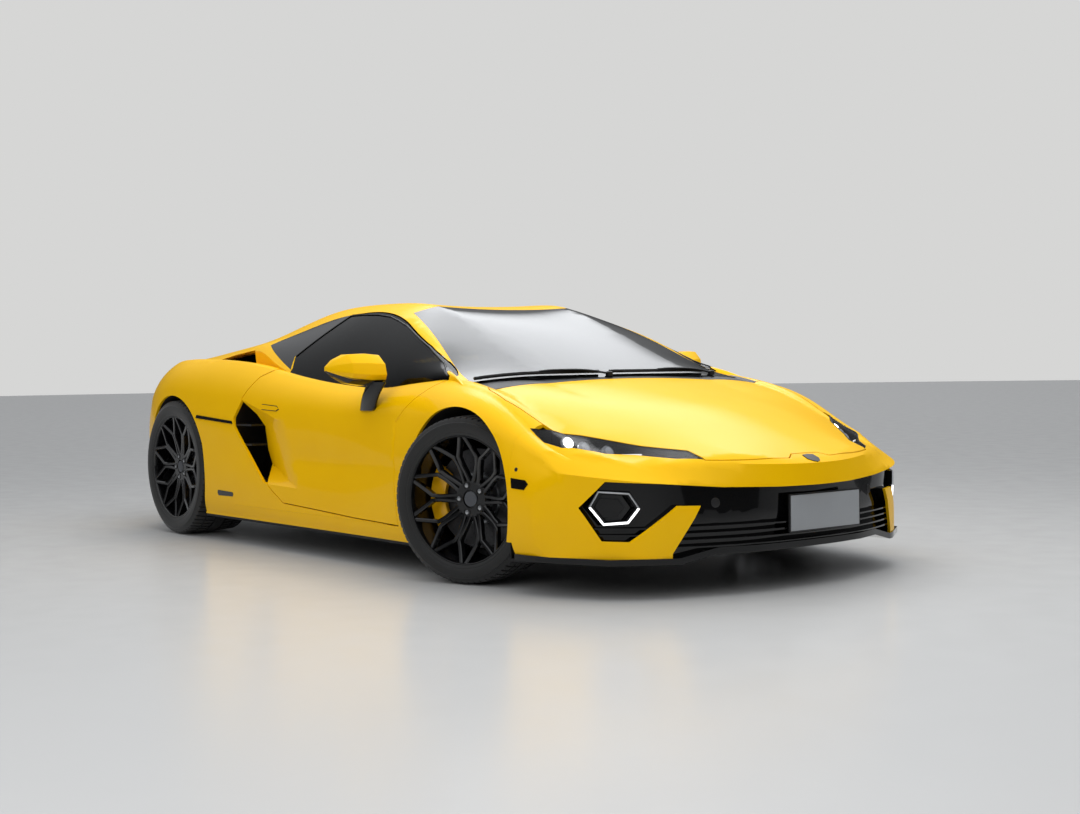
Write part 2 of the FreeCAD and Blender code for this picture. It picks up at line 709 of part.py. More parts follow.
intake_side_shares = (
    (-0.262, 0.612), (-0.292, 0.533), (-0.289, 0.501), (-0.231, 0.388), (-0.168, 0.272), (-0.15, 0.28),
    (-0.19, 0.37), (-0.21, 0.54), (-0.245, 0.6),
)
shoulder_intake_side_shares = (
    (-0.366, 0.76), (-0.366, 0.826), (-0.5, 0.806), (-0.66, 0.77), (-0.66, 0.74),
)
engine_cover_plan_shares = (
    (-0.317, 0.36), (-0.84, 0.42), (-0.84, -0.42), (-0.317, -0.36),
)
engine_slot_plan_shares = (
    (-0.298, 0.366), (-0.33, 0.37), (-0.33, -0.37), (-0.298, -0.366),
)
windscreen_plan_shares = (
    (0.485, 0.79), ((0.51, 0), (0.485, -0.79)), (0.13, -0.532), ((0.137, 0), (0.13, 0.532)),
)
# Openings of the front and rear bumpers, in shares of the half width and height
front_opening_shares = (
    (0, 0.338), (0.201, 0.339), (0.439, 0.346), (0.673, 0.363), (0.825, 0.371), (0.885, 0.289),
    (0.832, 0.185), (0.757, 0.183), (0.61, 0.293), (0.531, 0.291), (0.628, 0.144), (0.628, 0.1),
    (0, 0.1),
)
lamp_ring_shares = (
    (0.859, 0.291), (0.837, 0.343), (0.755, 0.337), (0.724, 0.288), (0.757, 0.24), (0.824, 0.234),
)
rear_opening_shares = (
    (0.7, 0.66), (0.62, 0.47), (0.22, 0.47), (0.18, 0.375), (-0.18, 0.375), (-0.22, 0.47),
    (-0.62, 0.47), (-0.7, 0.66),
)
tail_lamp_shares = ((0.5, 0.648), (0.675, 0.654), (0.66, 0.6), (0.635, 0.565), (0.56, 0.578))
diffuser_opening_shares = ((0.6, 0.34), (0.6, 0.05), (-0.6, 0.05), (-0.6, 0.34))
bumper_split_share = 0.7
rear_bumper_split_share = -0.8

lower_outer = lower_solid(0)
lower_inner = lower_solid(skin_wall)
upper_outer = upper_solid(0)
upper_inner = upper_solid(mm("roof_wall"))
glass_inner = upper_solid(mm("glass_wall"))

far_y = half_width + overrun
ceiling = height + overrun
floor_level = mm("sill_level")

above_sill = box(-half_length - overrun, half_length + overrun, -far_y, far_y, floor_level, ceiling)
lower_shell = lower_outer.cut(lower_inner).cut(upper_inner).common(above_sill)


def arch(axle_x, wheel_level, diameter, inner, outer):
    """Cylinder of a wheel arch on the left side."""
    return Part.makeCylinder(diameter / 2, outer - inner, Vector(axle_x, inner, wheel_level), LEFTWARD)


front_axle_level = mm("front_tyre_diameter") / 2
rear_axle_level = mm("rear_tyre_diameter") / 2
front_arch_cut = arch(front_axle_x, front_axle_level, mm("front_arch_diameter"),
                      mm("arch_inner_offset"), far_y)
rear_arch_cut = arch(rear_axle_x, rear_axle_level, mm("rear_arch_diameter"),
                     mm("rear_arch_inner_offset"), far_y)

# Door: its front edge is turned about the hinge axis, so it keeps its gap as it swings
hinge_x = mm("door_hinge_x")
hinge_y = mm("door_hinge_y")
door_edge_shares = (
    (0.142, 0.11), (0.142, 0.242), (0.119, 0.396), (0.1055, 0.5), (0.092, 0.54), (0.12, 0.585),
    (0.17, 0.63), (0.24, 0.676), (0.286, 0.695), (0.286, 0.85),
)


def door_turn(grow):
    """Solid turned about the left door's hinge axis, out to the door's front edge."""
    outline = [Vector(hinge_x + radius * half_width + grow, hinge_y, level * height)
               for radius, level in door_edge_shares]
    outline = [Vector(hinge_x, hinge_y, outline[0].z)] + outline + [Vector(hinge_x, hinge_y, outline[-1].z)]
    face = Part.Face(Part.makePolygon(outline + [outline[0]]))
    return face.revolve(Vector(hinge_x, hinge_y, 0), UP, 360)


def door_region(grow):
    """Space that the left door takes, grown by a gap."""
    side = prism(door_side_shares, 1, mm("door_inner_y") - grow, far_y, grow)
    behind = box(-half_length, hinge_x, 0, far_y, 0, ceiling)
    return side.common(behind.fuse(door_turn(grow)))
door_zone = door_region(0)
door_gap_zone = door_region(shut_gap)
sill_top = mm("sill_top")
sill_side = mm("sill_side")
sill_box = box(-half_length, half_length, 0, sill_side + shut_gap, 0, sill_top + shut_gap)
fixed_gap = mm("seat_gap")
x_ahead = half_length + overrun


def cut_both(shape, tool):
    """Cut a tool and its mirror image out of a shape."""
    return shape.cut([tool, mirror(tool)])


def both(shape):
    """The shape with its mirror image, as solids that don't touch."""
    return Part.makeCompound([shape, mirror(shape)])


# Closing panels
hood_zone = prism(hood_plan_shares, 2, keel, ceiling)
hood_gap_zone = prism(hood_plan_shares, 2, keel, ceiling, shut_gap)
headlamp_zone = prism(headlamp_plan_shares, 2, keel, ceiling)
headlamp_gap_zone = prism(headlamp_plan_shares, 2, keel, ceiling, fixed_gap)
cover_zone = prism(engine_cover_plan_shares, 2, floor_level, ceiling)
cover_gap_zone = prism(engine_cover_plan_shares, 2, floor_level, ceiling, shut_gap)
slot_zone = prism(engine_slot_plan_shares, 2, floor_level, ceiling)
windscreen_zone = prism(windscreen_plan_shares, 2, floor_level, ceiling)
windscreen_gap_zone = prism(windscreen_plan_shares, 2, floor_level, ceiling, fixed_gap)
glass_side_low = half_width * mm("glass_side_share")
door_glass_zone = prism(door_glass_side_shares, 1, glass_side_low, far_y)
door_glass_gap_zone = prism(door_glass_side_shares, 1, glass_side_low, far_y, shut_gap)
quarter_glass_zone = prism(quarter_glass_side_shares, 1, glass_side_low, far_y)
quarter_glass_gap_zone = prism(quarter_glass_side_shares, 1, glass_side_low, far_y, fixed_gap)
intake_zone = prism(intake_side_shares, 1, glass_side_low, far_y)
shoulder_intake_zone = prism(shoulder_intake_side_shares, 1, glass_side_low, far_y)
sunk_outer = lower_outer.copy()
sunk_outer.translate(DOWN * (skin_wall / 2))
sunk_top = upper_outer.copy()
sunk_top.translate(DOWN * (mm("roof_wall") / 2))
hinge_plate = mm("hinge_plate")
pin_radius = mm("hinge_pin_diameter") / 2
eye_bore = pin_radius + mm("hinge_fit")
eye_radius = eye_bore + mm("hinge_eye_wall")


def plate(shares, unit, x, z, y_low):
    """Upright plate over an outline of shares of a length about a point, one hinge plate thick."""
    outline = [Vector(x + along * unit, y_low, z + up * unit) for along, up in shares]
    return Part.Face(Part.makePolygon(outline + [outline[0]])).extrude(LEFTWARD * hinge_plate)


def pin(x, z, y_low, y_high):
    """Hinge pin across the car."""
    return Part.makeCylinder(pin_radius, y_high - y_low, Vector(x, y_low, z), LEFTWARD)


def hinge_arm(shares, unit, x, z, y_low, trim):
    """Arm with an eye round the pin; the trim keeps its end inside the panel."""
    eye = Part.makeCylinder(eye_radius, hinge_plate, Vector(x, y_low, z), LEFTWARD)
    bore = Part.makeCylinder(eye_bore, hinge_plate, Vector(x, y_low, z), LEFTWARD)
    return plate(shares, unit, x, z, y_low).common(trim).fuse(eye).cut(bore)


hood_arm_shares = ((0.075, 0), (0.472, -0.557), (0.741, 0), (0.769, 0.165), (0.99, 0.165), (1, -0.047),
                   (0.542, -0.708), (0.354, -0.708), (-0.075, -0.042))
hood_post_shares = ((-0.2358, -0.92), (-0.2358, -0.495), (-0.057, 0.066), (0.057, 0.066),
                    (0.057, -0.066), (-0.094, -0.92))
cover_arm_shares = ((-0.038, -0.047), (-0.283, -0.047), (-0.283, 0.057), (0, 0.066))
cover_post_shares = ((0.038, 0.057), (0.212, 0.057), (0.212, -0.057), (0, -0.066))
arm_unit = mm("hood_arm_reach")
hood_pin_x = mm("hood_pin_x")
hood_pin_level = mm("hood_pin_level")
hood_arm_y = mm("hood_arm_y")
hood_post_y = hood_arm_y + hinge_plate + mm("hinge_side_gap")
cover_pin_x = mm("cover_pin_x")
cover_pin_level = mm("cover_pin_level")
cover_arm_y = mm("cover_arm_y")
cover_post_y = cover_arm_y + hinge_plate + mm("hinge_side_gap")
pin_overhang = mm("pin_overhang")

hood = single(lower_shell.common(hood_zone))
hood_arm = hinge_arm(hood_arm_shares, arm_unit, hood_pin_x, hood_pin_level, hood_arm_y, sunk_outer)
add_shape("hood", single(hood.multiFuse([hood_arm, mirror(hood_arm)])))
hood_post = plate(hood_post_shares, arm_unit, hood_pin_x, hood_pin_level, hood_post_y)
hood_post = hood_post.fuse(
    pin(hood_pin_x, hood_pin_level, hood_arm_y - pin_overhang, hood_post_y + pin_overhang))

outer_glass = upper_outer.cut(glass_inner).cut(lower_outer)
add_shape("windscreen", single(cut_both(outer_glass.common(windscreen_zone), door_glass_gap_zone)))
left_door_glass = single(outer_glass.common(door_glass_zone))
add_shape("quarter_glass", both(single(outer_glass.common(quarter_glass_zone))))

upper_shell = upper_outer.cut(upper_inner).cut(lower_outer)
upper_shell = upper_shell.cut([windscreen_gap_zone, cover_gap_zone, slot_zone])
upper_shell = cut_both(upper_shell, door_glass_gap_zone)
upper_shell = cut_both(upper_shell, quarter_glass_gap_zone)
roof_split_x = mm("roof_split_x")
roof = upper_shell.common(box(roof_split_x + fixed_gap, x_ahead, -far_y, far_y, 0, ceiling))
cover_post = plate(cover_post_shares, arm_unit, cover_pin_x, cover_pin_level, cover_post_y)
cover_post = cover_post.common(sunk_top)
cover_post = cover_post.fuse(pin(cover_pin_x, cover_pin_level, cover_arm_y - pin_overhang,
                                 cover_post_y + hinge_plate))
add_shape("roof", single(roof.multiFuse([cover_post, mirror(cover_post)])))
rear_deck = upper_shell.common(box(-x_ahead, roof_split_x, -far_y, far_y, 0, ceiling))
rear_deck = cut_both(rear_deck, shoulder_intake_zone)
add_shape("rear_deck", single(rear_deck))

louvre_half = mm("louvre_half_width")
louvres = [box(mm("louvre_front_x") - number * mm("louvre_pitch") - mm("louvre_length"),
               mm("louvre_front_x") - number * mm("louvre_pitch"), -louvre_half, louvre_half,
               floor_level, ceiling)
           for number in range(int(mm("louvre_count")))]
cover = upper_outer.cut(upper_inner).cut(lower_inner).common(cover_zone).cut(louvres)
cover_arm = hinge_arm(cover_arm_shares, arm_unit, cover_pin_x, cover_pin_level, cover_arm_y, sunk_top)
add_shape("engine_cover", single(single(cover).multiFuse([cover_arm, mirror(cover_arm)])))


# Door: a scoop bounded by three planes leads to the intake behind it
def outboard_of(first, second, third):
    """Thick slab on the outer side of the plane through three points on the left side."""
    spots = [place(*spot) for spot in (first, second, third)]
    normal = (spots[1] - spots[0]).cross(spots[2] - spots[0]).normalize()
    normal = normal if normal.y > 0 else -normal
    along = (spots[1] - spots[0]).normalize()
    across = normal.cross(along)
    centre = (spots[0] + spots[1] + spots[2]) * (1 / 3)
    reach = half_width
    square = [centre + along * a * reach + across * b * reach
              for a, b in ((-1, -1), (1, -1), (1, 1), (-1, 1), (-1, -1))]
    return Part.Face(Part.makePolygon(square)).extrude(normal * reach)


scoop_front_shares = ((-0.1007, 0.957, 0.5254), (-0.0463, 0.957, 0.3039), (-0.2252, 0.8868, 0.4996))
scoop_bottom_shares = ((-0.147, 0.9699, 0.2681), (0.1942, 0.9599, 0.2331), (-0.2019, 0.8868, 0.3372))
scoop_top_shares = ((-0.2618, 0.9679, 0.6103), (-0.1007, 0.957, 0.5254), (-0.2252, 0.8868, 0.4996))
scoop = outboard_of(*scoop_front_shares).common(outboard_of(*scoop_bottom_shares))
scoop = scoop.common(outboard_of(*scoop_top_shares))
door_pin_low = mm("door_pin_low")
door_pin_top = mm("door_pin_top")
door_bore = Part.makeCylinder(eye_bore, door_pin_top + mm("hinge_side_gap") - door_pin_low,
                              Vector(hinge_x, hinge_y, door_pin_low), UP)
left_door = lower_outer.common(door_zone).cut([sill_box, scoop, door_bore])
left_door = single(left_door)

side_shell = lower_shell.cut([hood_gap_zone])
side_shell = cut_both(side_shell, door_gap_zone)
side_shell = cut_both(side_shell, headlamp_gap_zone)
side_shell = cut_both(side_shell, front_arch_cut)
side_shell = cut_both(side_shell, rear_arch_cut)
bumper_x = bumper_split_share * half_length
fender_x = mm("fender_rear_x")
rear_bumper_x = rear_bumper_split_share * half_length
sill_seam = mm("sill_seam")

cowl_zone = box(mm("cowl_rear_x"), front_axle_x, -mm("cowl_half_width"), mm("cowl_half_width"),
                floor_level, ceiling)
fenders = side_shell.common(box(fender_x, bumper_x - fixed_gap, -far_y, far_y, sill_seam, ceiling))
fenders = fenders.cut(cowl_zone)
add_shape("front_fenders", both(single(fenders.common(box(0, x_ahead, 0, far_y, 0, ceiling)))))

left_sill = side_shell.common(box(mm("sill_rear_x"), front_axle_x, 0, far_y, 0, sill_seam - fixed_gap))
add_shape("sills", both(single(left_sill)))

quarter = side_shell.common(box(rear_bumper_x + fixed_gap, hinge_x, 0, far_y, 0, ceiling))
quarter = quarter.cut([intake_zone, box(mm("sill_rear_x") - fixed_gap, hinge_x, 0, far_y, 0, sill_seam)])
add_shape("rear_quarters", both(single(quarter.cut(cover_gap_zone))))

cowl = side_shell.common(cowl_zone)
add_shape("cowl", single(cowl))

# Bumpers with the trays that line their openings
deep_body = lower_solid(mm("tray_depth"))
lamp_body = lower_solid(mm("lamp_depth"))
tray_band = lower_inner.cut(lamp_body)
bumper_low = mm("bumper_level")
tray_rim = mm("tray_rim")


def opening(shares, x_low, x_high, grow=0):
    """Solid over an outline of shares in the front view."""
    return prism(shares, 0, x_low, x_high, grow)


def lined(zone, wide_zone):
    """Tray behind an opening: a back wall with a rim that lies on the panel's inner face."""
    return tray_band.common(wide_zone).cut(zone.cut(deep_body))


bumper_box = box(bumper_x, x_ahead, -far_y, far_y, bumper_low, ceiling)
bumper = side_shell.common(bumper_box)
front_opening = opening(front_opening_shares, bumper_x + overrun, x_ahead)
front_opening_wide = opening(front_opening_shares, bumper_x + overrun, x_ahead, tray_rim)
add_shape("front_bumper", single(cut_both(bumper, front_opening)))
half_tray = single(lined(front_opening, front_opening_wide).common(bumper_box).cut(
    box(0, x_ahead, -far_y, 0, 0, ceiling)))
slat_band = lower_inner.cut(deep_body)
slat_zone = slat_band.common(front_opening)
slats = []
for number in range(int(mm("grille_slat_count"))):
    slat_level = mm("grille_slat_low") + number * mm("grille_slat_pitch")
    slats.append(slat_zone.common(
        box(0, x_ahead, 0, far_y, slat_level, slat_level + mm("grille_slat_wall"))))
lamp_ring = opening(lamp_ring_shares, bumper_x + overrun, x_ahead).cut(
    opening(lamp_ring_shares, bumper_x + overrun, x_ahead, -2 * tray_rim))
slats.append(slat_band.common(lamp_ring))
half_grille = half_tray.multiFuse(slats)
add_shape("front_grilles", single(half_grille.fuse(mirror(half_grille))))

rear_bumper = side_shell.common(box(-x_ahead, rear_bumper_x, -far_y, far_y, 0, ceiling))
rear_opening = opening(rear_opening_shares, -x_ahead, rear_bumper_x - overrun)
rear_opening_wide = opening(rear_opening_shares, -x_ahead, rear_bumper_x - overrun, tray_rim)
diffuser_opening = opening(diffuser_opening_shares, -x_ahead, rear_bumper_x - overrun)
rear_bumper = rear_bumper.cut([cover_gap_zone, rear_opening, diffuser_opening])
add_shape("rear_bumper", single(rear_bumper))
rear_tray = single(lined(rear_opening, rear_opening_wide))
tail_lamp = slat_band.common(opening(tail_lamp_shares, -x_ahead, rear_bumper_x - overrun))
add_shape("rear_grille", cut_both(rear_tray, tail_lamp))
add_shape("tail_lamps", both(single(tail_lamp)))

left_lamp = lower_outer.common(headlamp_zone).cut([lamp_body, hood_gap_zone])
add_shape("headlamps", both(single(left_lamp)))

# Structure: its outer faces lie on the panels' inner faces
tub_front_x = mm("tub_front_x")
tub_rear_x = mm("tub_rear_x")
tub_wall = mm("tub_wall")
foot_side = mm("footwell_half_width")
sill_inner = mm("sill_inner_y")
liner_wall = mm("liner_wall")
front_inset = mm("arch_inner_offset")
rear_inset = mm("rear_arch_inner_offset")
front_liner_cut = arch(front_axle_x, front_axle_level, mm("front_arch_diameter") + 2 * liner_wall,
                       front_inset - liner_wall, far_y)
rear_liner_cut = arch(rear_axle_x, rear_axle_level, mm("rear_arch_diameter") + 2 * liner_wall,
                      rear_inset - liner_wall, far_y)
duct_rear_x = mm("duct_rear_x")
duct_front_x = mm("duct_front_x")
duct_inner_y = mm("duct_inner_y")
duct_low = mm("duct_low")
duct_top = mm("duct_top")
duct_zone = box(duct_rear_x, duct_front_x, duct_inner_y, far_y, duct_low, duct_top)
bulkhead_top = mm("bulkhead_top")
tub_pieces = [
    box(tub_rear_x, tub_front_x, -foot_side, foot_side, floor_level, floor_level + tub_wall),
    box(tub_rear_x, mm("sill_box_front_x"), -sill_inner, sill_inner, floor_level, floor_level + tub_wall),
    box(tub_rear_x, mm("sill_box_front_x"), sill_inner, sill_side, floor_level, sill_top),
    box(tub_rear_x, mm("sill_box_front_x"), -sill_side, -sill_inner, floor_level, sill_top),
    box(tub_rear_x, tub_rear_x + tub_wall, -far_y, far_y, floor_level, bulkhead_top),
    box(tub_front_x, tub_front_x + tub_wall, -foot_side, foot_side, floor_level, mm("cowl_level")),
    box(tub_rear_x, tub_front_x, -mm("tunnel_half_width"), mm("tunnel_half_width"),
        floor_level, mm("tunnel_top")),
]
tub = tub_pieces[0].multiFuse(tub_pieces[1:]).common(lower_inner)
# The door's front end swings inwards ahead of its hinge
door_sweep = door_turn(shut_gap).common(
    box(hinge_x + 2 * hinge_plate, half_length, 0, hinge_y, 0, ceiling))
tub = cut_both(tub, door_gap_zone)
tub = cut_both(tub, door_sweep)
tub = cut_both(tub, front_liner_cut)
tub = cut_both(tub, rear_liner_cut)
tub = cut_both(tub, duct_zone)
add_shape("tub", single(tub))

duct_wall = mm("duct_wall")
duct_hollow = box(duct_rear_x + duct_wall, duct_front_x, duct_inner_y + duct_wall, far_y,
                  duct_low + duct_wall, duct_top - duct_wall)
blades = [box(duct_rear_x, duct_front_x, mm("blade_inner_y"), far_y, level, level + mm("blade_wall"))
          for level in (mm("lower_blade_level"), mm("upper_blade_level"))]
duct = duct_zone.cut(duct_hollow).multiFuse(blades).common(lower_inner).cut(door_gap_zone)
duct = duct.cut(rear_liner_cut)
add_shape("side_intakes", both(single(duct)))

tray_low = floor_level - mm("undertray_wall")
diffuser_front = mm("diffuser_front_x")
diffuser_half = mm("diffuser_half_width")
tray = lower_outer.common(box(-x_ahead, mm("undertray_front_x"), -far_y, far_y, tray_low, floor_level))
tray = cut_both(cut_both(tray, front_liner_cut), rear_liner_cut)
tray = tray.cut(box(-x_ahead, diffuser_front, -diffuser_half, diffuser_half, tray_low, floor_level))
add_shape("undertray", single(tray))

# Diffuser: a ramp with upright fins under the tail, and the panel above its exit
diffuser_rear = mm("diffuser_rear_x")
diffuser_top = mm("diffuser_top")


def diffuser_plate(points, y_low, y_high):
    """Piece with a side outline of (x, z) points."""
    outline = [Vector(x, y_low, z) for x, z in points]
    return Part.Face(Part.makePolygon(outline + [outline[0]])).extrude(LEFTWARD * (y_high - y_low))


ramp_wall = mm("undertray_wall")
ramp = diffuser_plate([(diffuser_front, tray_low), (diffuser_rear, diffuser_top),
                       (diffuser_rear, diffuser_top + ramp_wall), (diffuser_front, tray_low + ramp_wall)],
                      -diffuser_half, diffuser_half)
fin_wall = mm("diffuser_fin_wall")
fin_shares = (-1, -0.45, 0.45, 1)
fins = []
for share in fin_shares:
    fin_y = share * (diffuser_half - fin_wall / 2)
    fins.append(diffuser_plate(
        [(diffuser_front, tray_low), (diffuser_front, tray_low + ramp_wall),
         (diffuser_rear, diffuser_top + ramp_wall), (diffuser_rear, mm("diffuser_low"))],
        fin_y - fin_wall / 2, fin_y + fin_wall / 2))
exit_panel = slat_band.common(
    box(-x_ahead, rear_bumper_x, -diffuser_half, diffuser_half, diffuser_top, mm("diffuser_panel_top")))
diffuser = ramp.multiFuse(fins + [exit_panel])
add_shape("diffuser", single(diffuser.common(lower_outer)))

exhaust_length = mm("exhaust_front_x") - mm("exhaust_rear_x")
exhaust_base = Vector(mm("exhaust_rear_x"), mm("exhaust_y"), mm("exhaust_level"))
tip = Part.makeCylinder(mm("exhaust_radius"), exhaust_length, exhaust_base, FORWARD)
tip = tip.cut(Part.makeCylinder(mm("exhaust_bore"), exhaust_length - ramp_wall, exhaust_base, FORWARD))
add_shape("exhaust_tips", both(tip))
tip_hole = Part.makeCylinder(mm("exhaust_radius"), exhaust_length, exhaust_base, FORWARD)
parts["rear_grille"].Shape = single(cut_both(parts["rear_grille"].Shape, tip_hole))


def arch_liner(axle_x, level, diameter, inner):
    """Thin half drum inside a wheel arch, with its inner wall open round the hub."""
    outer_drum = arch(axle_x, level, diameter + 2 * liner_wall, inner - liner_wall, far_y)
    inner_drum = arch(axle_x, level, diameter, inner, far_y)
    window = box(axle_x - mm("hub_window"), axle_x + mm("hub_window"), 0, inner + liner_wall, 0,
                 level + mm("hub_window"))
    return single(single(outer_drum.cut(inner_drum).common(lower_inner).common(above_sill)).cut(window))


front_liner = arch_liner(front_axle_x, front_axle_level, mm("front_arch_diameter"), front_inset)
rear_liner = arch_liner(rear_axle_x, rear_axle_level, mm("rear_arch_diameter"), rear_inset)
add_shape("arch_liners", Part.makeCompound(
    [front_liner, mirror(front_liner), rear_liner, mirror(rear_liner)]))

# Splitter: a plate whose middle steps up, under a rounded nose
splitter_plan_shares = (
    (0.701, 0.967), (0.74, 0.962), (0.795, 0.917), (0.875, 0.829), (0.931, 0.633), (0.946, 0.521),
    (0.9775, 0.3), ((0.985, 0), (0.9775, -0.3)), (0.946, -0.521), (0.931, -0.633), (0.875, -0.829),
    (0.795, -0.917), (0.74, -0.962), (0.701, -0.967),
)
splitter_low = mm("splitter_low")
splitter_wall = mm("splitter_wall")
splitter_rise = mm("splitter_rise")
step_ys = (-half_width, -mm("splitter_step_y"), -mm("splitter_flat_y"), mm("splitter_flat_y"),
           mm("splitter_step_y"), half_width)
step_rises = (0, 0, splitter_rise, splitter_rise, 0, 0)
splitter_x = mm("splitter_rear_x")
splitter_edge = [Vector(splitter_x, y, splitter_low + rise) for y, rise in zip(step_ys, step_rises)]
splitter_edge += [Vector(splitter_x, y, splitter_low + splitter_wall + rise)
                  for y, rise in reversed(list(zip(step_ys, step_rises)))]
splitter = Part.Face(Part.makePolygon(splitter_edge + [splitter_edge[0]])).extrude(
    FORWARD * (x_ahead - splitter_x))
splitter = splitter.common(prism(splitter_plan_shares, 2, 0, half_width))
splitter = single(splitter.cut(parts["front_grilles"].Shape))
add_shape("splitter", splitter)

hinge_block = box(hinge_x - 2 * hinge_plate, hinge_x + 2 * hinge_plate, mm("door_inner_y") - shut_gap,
                  hinge_y + 2 * hinge_plate, mm("door_pin_block_top") - mm("door_pin_block"),
                  mm("door_pin_block_top"))
door_pin = Part.makeCylinder(pin_radius, door_pin_top - door_pin_low,
                             Vector(hinge_x, hinge_y, door_pin_low), UP)
door_bracket = hinge_block.fuse(door_pin)
add_shape("hinge_brackets", Part.makeCompound(
    [hood_post, mirror(hood_post), door_bracket, mirror(door_bracket)]))


def bound(kind, label, sizes, corner):
    """Primitive whose sizes follow expressions of the sheet, set at a corner or centre."""
    item = doc.addObject(kind, label)
    item.Label = label
    for name, expression in sizes.items():
        item.setExpression(name, expression)
    item.Placement = FreeCAD.Placement(corner, FreeCAD.Rotation())
    parts[label] = item
    return item


bound("Part::Box", "engine_block",
      {"Length": "Sizes.engine_length", "Width": "Sizes.engine_width", "Height": "Sizes.engine_height"},
      Vector(tub_rear_x - mm("engine_length") - shut_gap, -mm("engine_width") / 2, floor_level))


Wheel = namedtuple("Wheel", "diameter width rim inset turn hub lip")
front_wheel = Wheel(mm("front_tyre_diameter"), mm("front_tyre_width"), mm("front_rim_diameter"),
                    mm("front_disc_inset"), mm("front_disc_diameter"), mm("front_hub_face"),
                    mm("front_lip_face"))
rear_wheel = Wheel(mm("rear_tyre_diameter"), mm("rear_tyre_width"), mm("rear_rim_diameter"),
                   mm("rear_disc_inset"), mm("rear_disc_diameter"), mm("rear_hub_face"),
                   mm("rear_lip_face"))


def turned(points):
    """Solid turned about the Y axis; points are (y, radius) and pairs of points are arcs."""
    def spot(point):
        return Vector(point[1], point[0], 0)

    edges = []
    previous = spot(points[0])
    for point in list(points[1:]) + [points[0]]:
        if isinstance(point[0], tuple):
            edges.append(Part.Arc(previous, spot(point[0]), spot(point[1])).toShape())
            previous = spot(point[1])
        elif spot(point) != previous:
            edges.append(Part.makeLine(previous, spot(point)))
            previous = spot(point)
    return Part.Face(Part.Wire(edges)).revolve(Vector(0, 0, 0), LEFTWARD, 360)


def tyre_shape(wheel):
    """Tyre about the Y axis, open inside to seat on the rim."""
    bead = wheel.rim / 2 + mm("tyre_fit")
    half, outer = wheel.width / 2, wheel.diameter / 2
    bead_half = half - mm("bead_inset")
    tread_half = half - mm("tread_inset")
    edge = outer - mm("tyre_crown")
    waist = (bead + outer) / 2
    return turned([
        (-bead_half, bead), (bead_half, bead), ((half, waist), (tread_half, edge)),
        ((0, outer), (-tread_half, edge)), ((-half, waist), (-bead_half, bead))])


def rim_shape(wheel):
    """Rim with barrel, hub and forked spokes in a hollow dish; its face looks along +Y."""
    outer = wheel.rim / 2
    inner = outer - mm("rim_barrel_wall")
    half = wheel.width / 2 - mm("bead_inset")
    barrel = turned([(-half, inner), (-half, outer), (half, outer), (half, inner)])
    depth = mm("spoke_depth")
    hub_radius = mm("wheel_hub_diameter") / 2
    bore = mm("axle_bore") / 2
    hub = turned([(wheel.hub - depth, bore), (wheel.hub, bore), (wheel.hub, hub_radius),
                  (wheel.hub - depth, hub_radius)])
    half_spoke = mm("spoke_width") / 2
    root = hub_radius - half_spoke
    edge = outer - mm("rim_barrel_wall") / 2
    middle = (root + edge) / 2
    sag = (wheel.hub + wheel.lip) / 2 - (wheel.lip - wheel.hub) * mm("dish_sag_share")
    dish = turned([(wheel.hub, root), ((sag, middle), (wheel.lip, edge)), (wheel.lip - depth, edge),
                   ((sag - depth, middle), (wheel.hub - depth, root))])
    fork = outer * mm("spoke_fork_share")
    spread = outer * mm("spoke_spread_share")
    arms = [((root, 0), (fork, 0)), ((fork, 0), (outer - half_spoke, spread)),
            ((fork, 0), (outer - half_spoke, -spread))]
    spoke = None
    for (r0, z0), (r1, z1) in arms:
        length = math.hypot(r1 - r0, z1 - z0)
        bar = Part.makeBox(length + half_spoke, wheel.width, 2 * half_spoke,
                           Vector(0, -wheel.width / 2, -half_spoke))
        bar.rotate(Vector(0, 0, 0), LEFTWARD, -math.degrees(math.atan2(z1 - z0, r1 - r0)))
        bar.translate(Vector(r0, 0, z0))
        spoke = bar if spoke is None else spoke.fuse(bar)
    spoke = spoke.common(dish)
    count = int(mm("spoke_count"))
    spokes = []
    for number in range(count):
        copy = spoke.copy()
        copy.rotate(Vector(0, 0, 0), LEFTWARD, 360 * number / count)
        spokes.append(copy)
    return barrel.multiFuse([hub] + spokes).removeSplitter()


def disc_shape(wheel):
    """Brake disc with its bell, which bolts to the hub."""
    low = wheel.inset
    high = low + mm("disc_thickness")
    face = wheel.hub - mm("spoke_depth")
    bore = mm("axle_bore") / 2
    bell = mm("disc_bell_diameter") / 2
    return turned([(low, bore), (low, wheel.turn / 2), (high, wheel.turn / 2), (high, bell),
                   (face, bell), (face, bore)])


def knuckle_shape(wheel):
    """Upright with its stub axle, which carries the wheel."""
    back = wheel.inset - mm("knuckle_gap") - mm("knuckle_depth")
    front = wheel.inset - mm("knuckle_gap")
    upright = Part.makeBox(mm("knuckle_width"), front - back, mm("knuckle_height"),
                           Vector(-mm("knuckle_width") / 2, back, -mm("knuckle_height") / 2))
    reach = wheel.hub - front
    stub = Part.makeCylinder(mm("axle_bore") / 2 - mm("axle_fit"), reach, Vector(0, front, 0), LEFTWARD)
    return upright.fuse(stub)


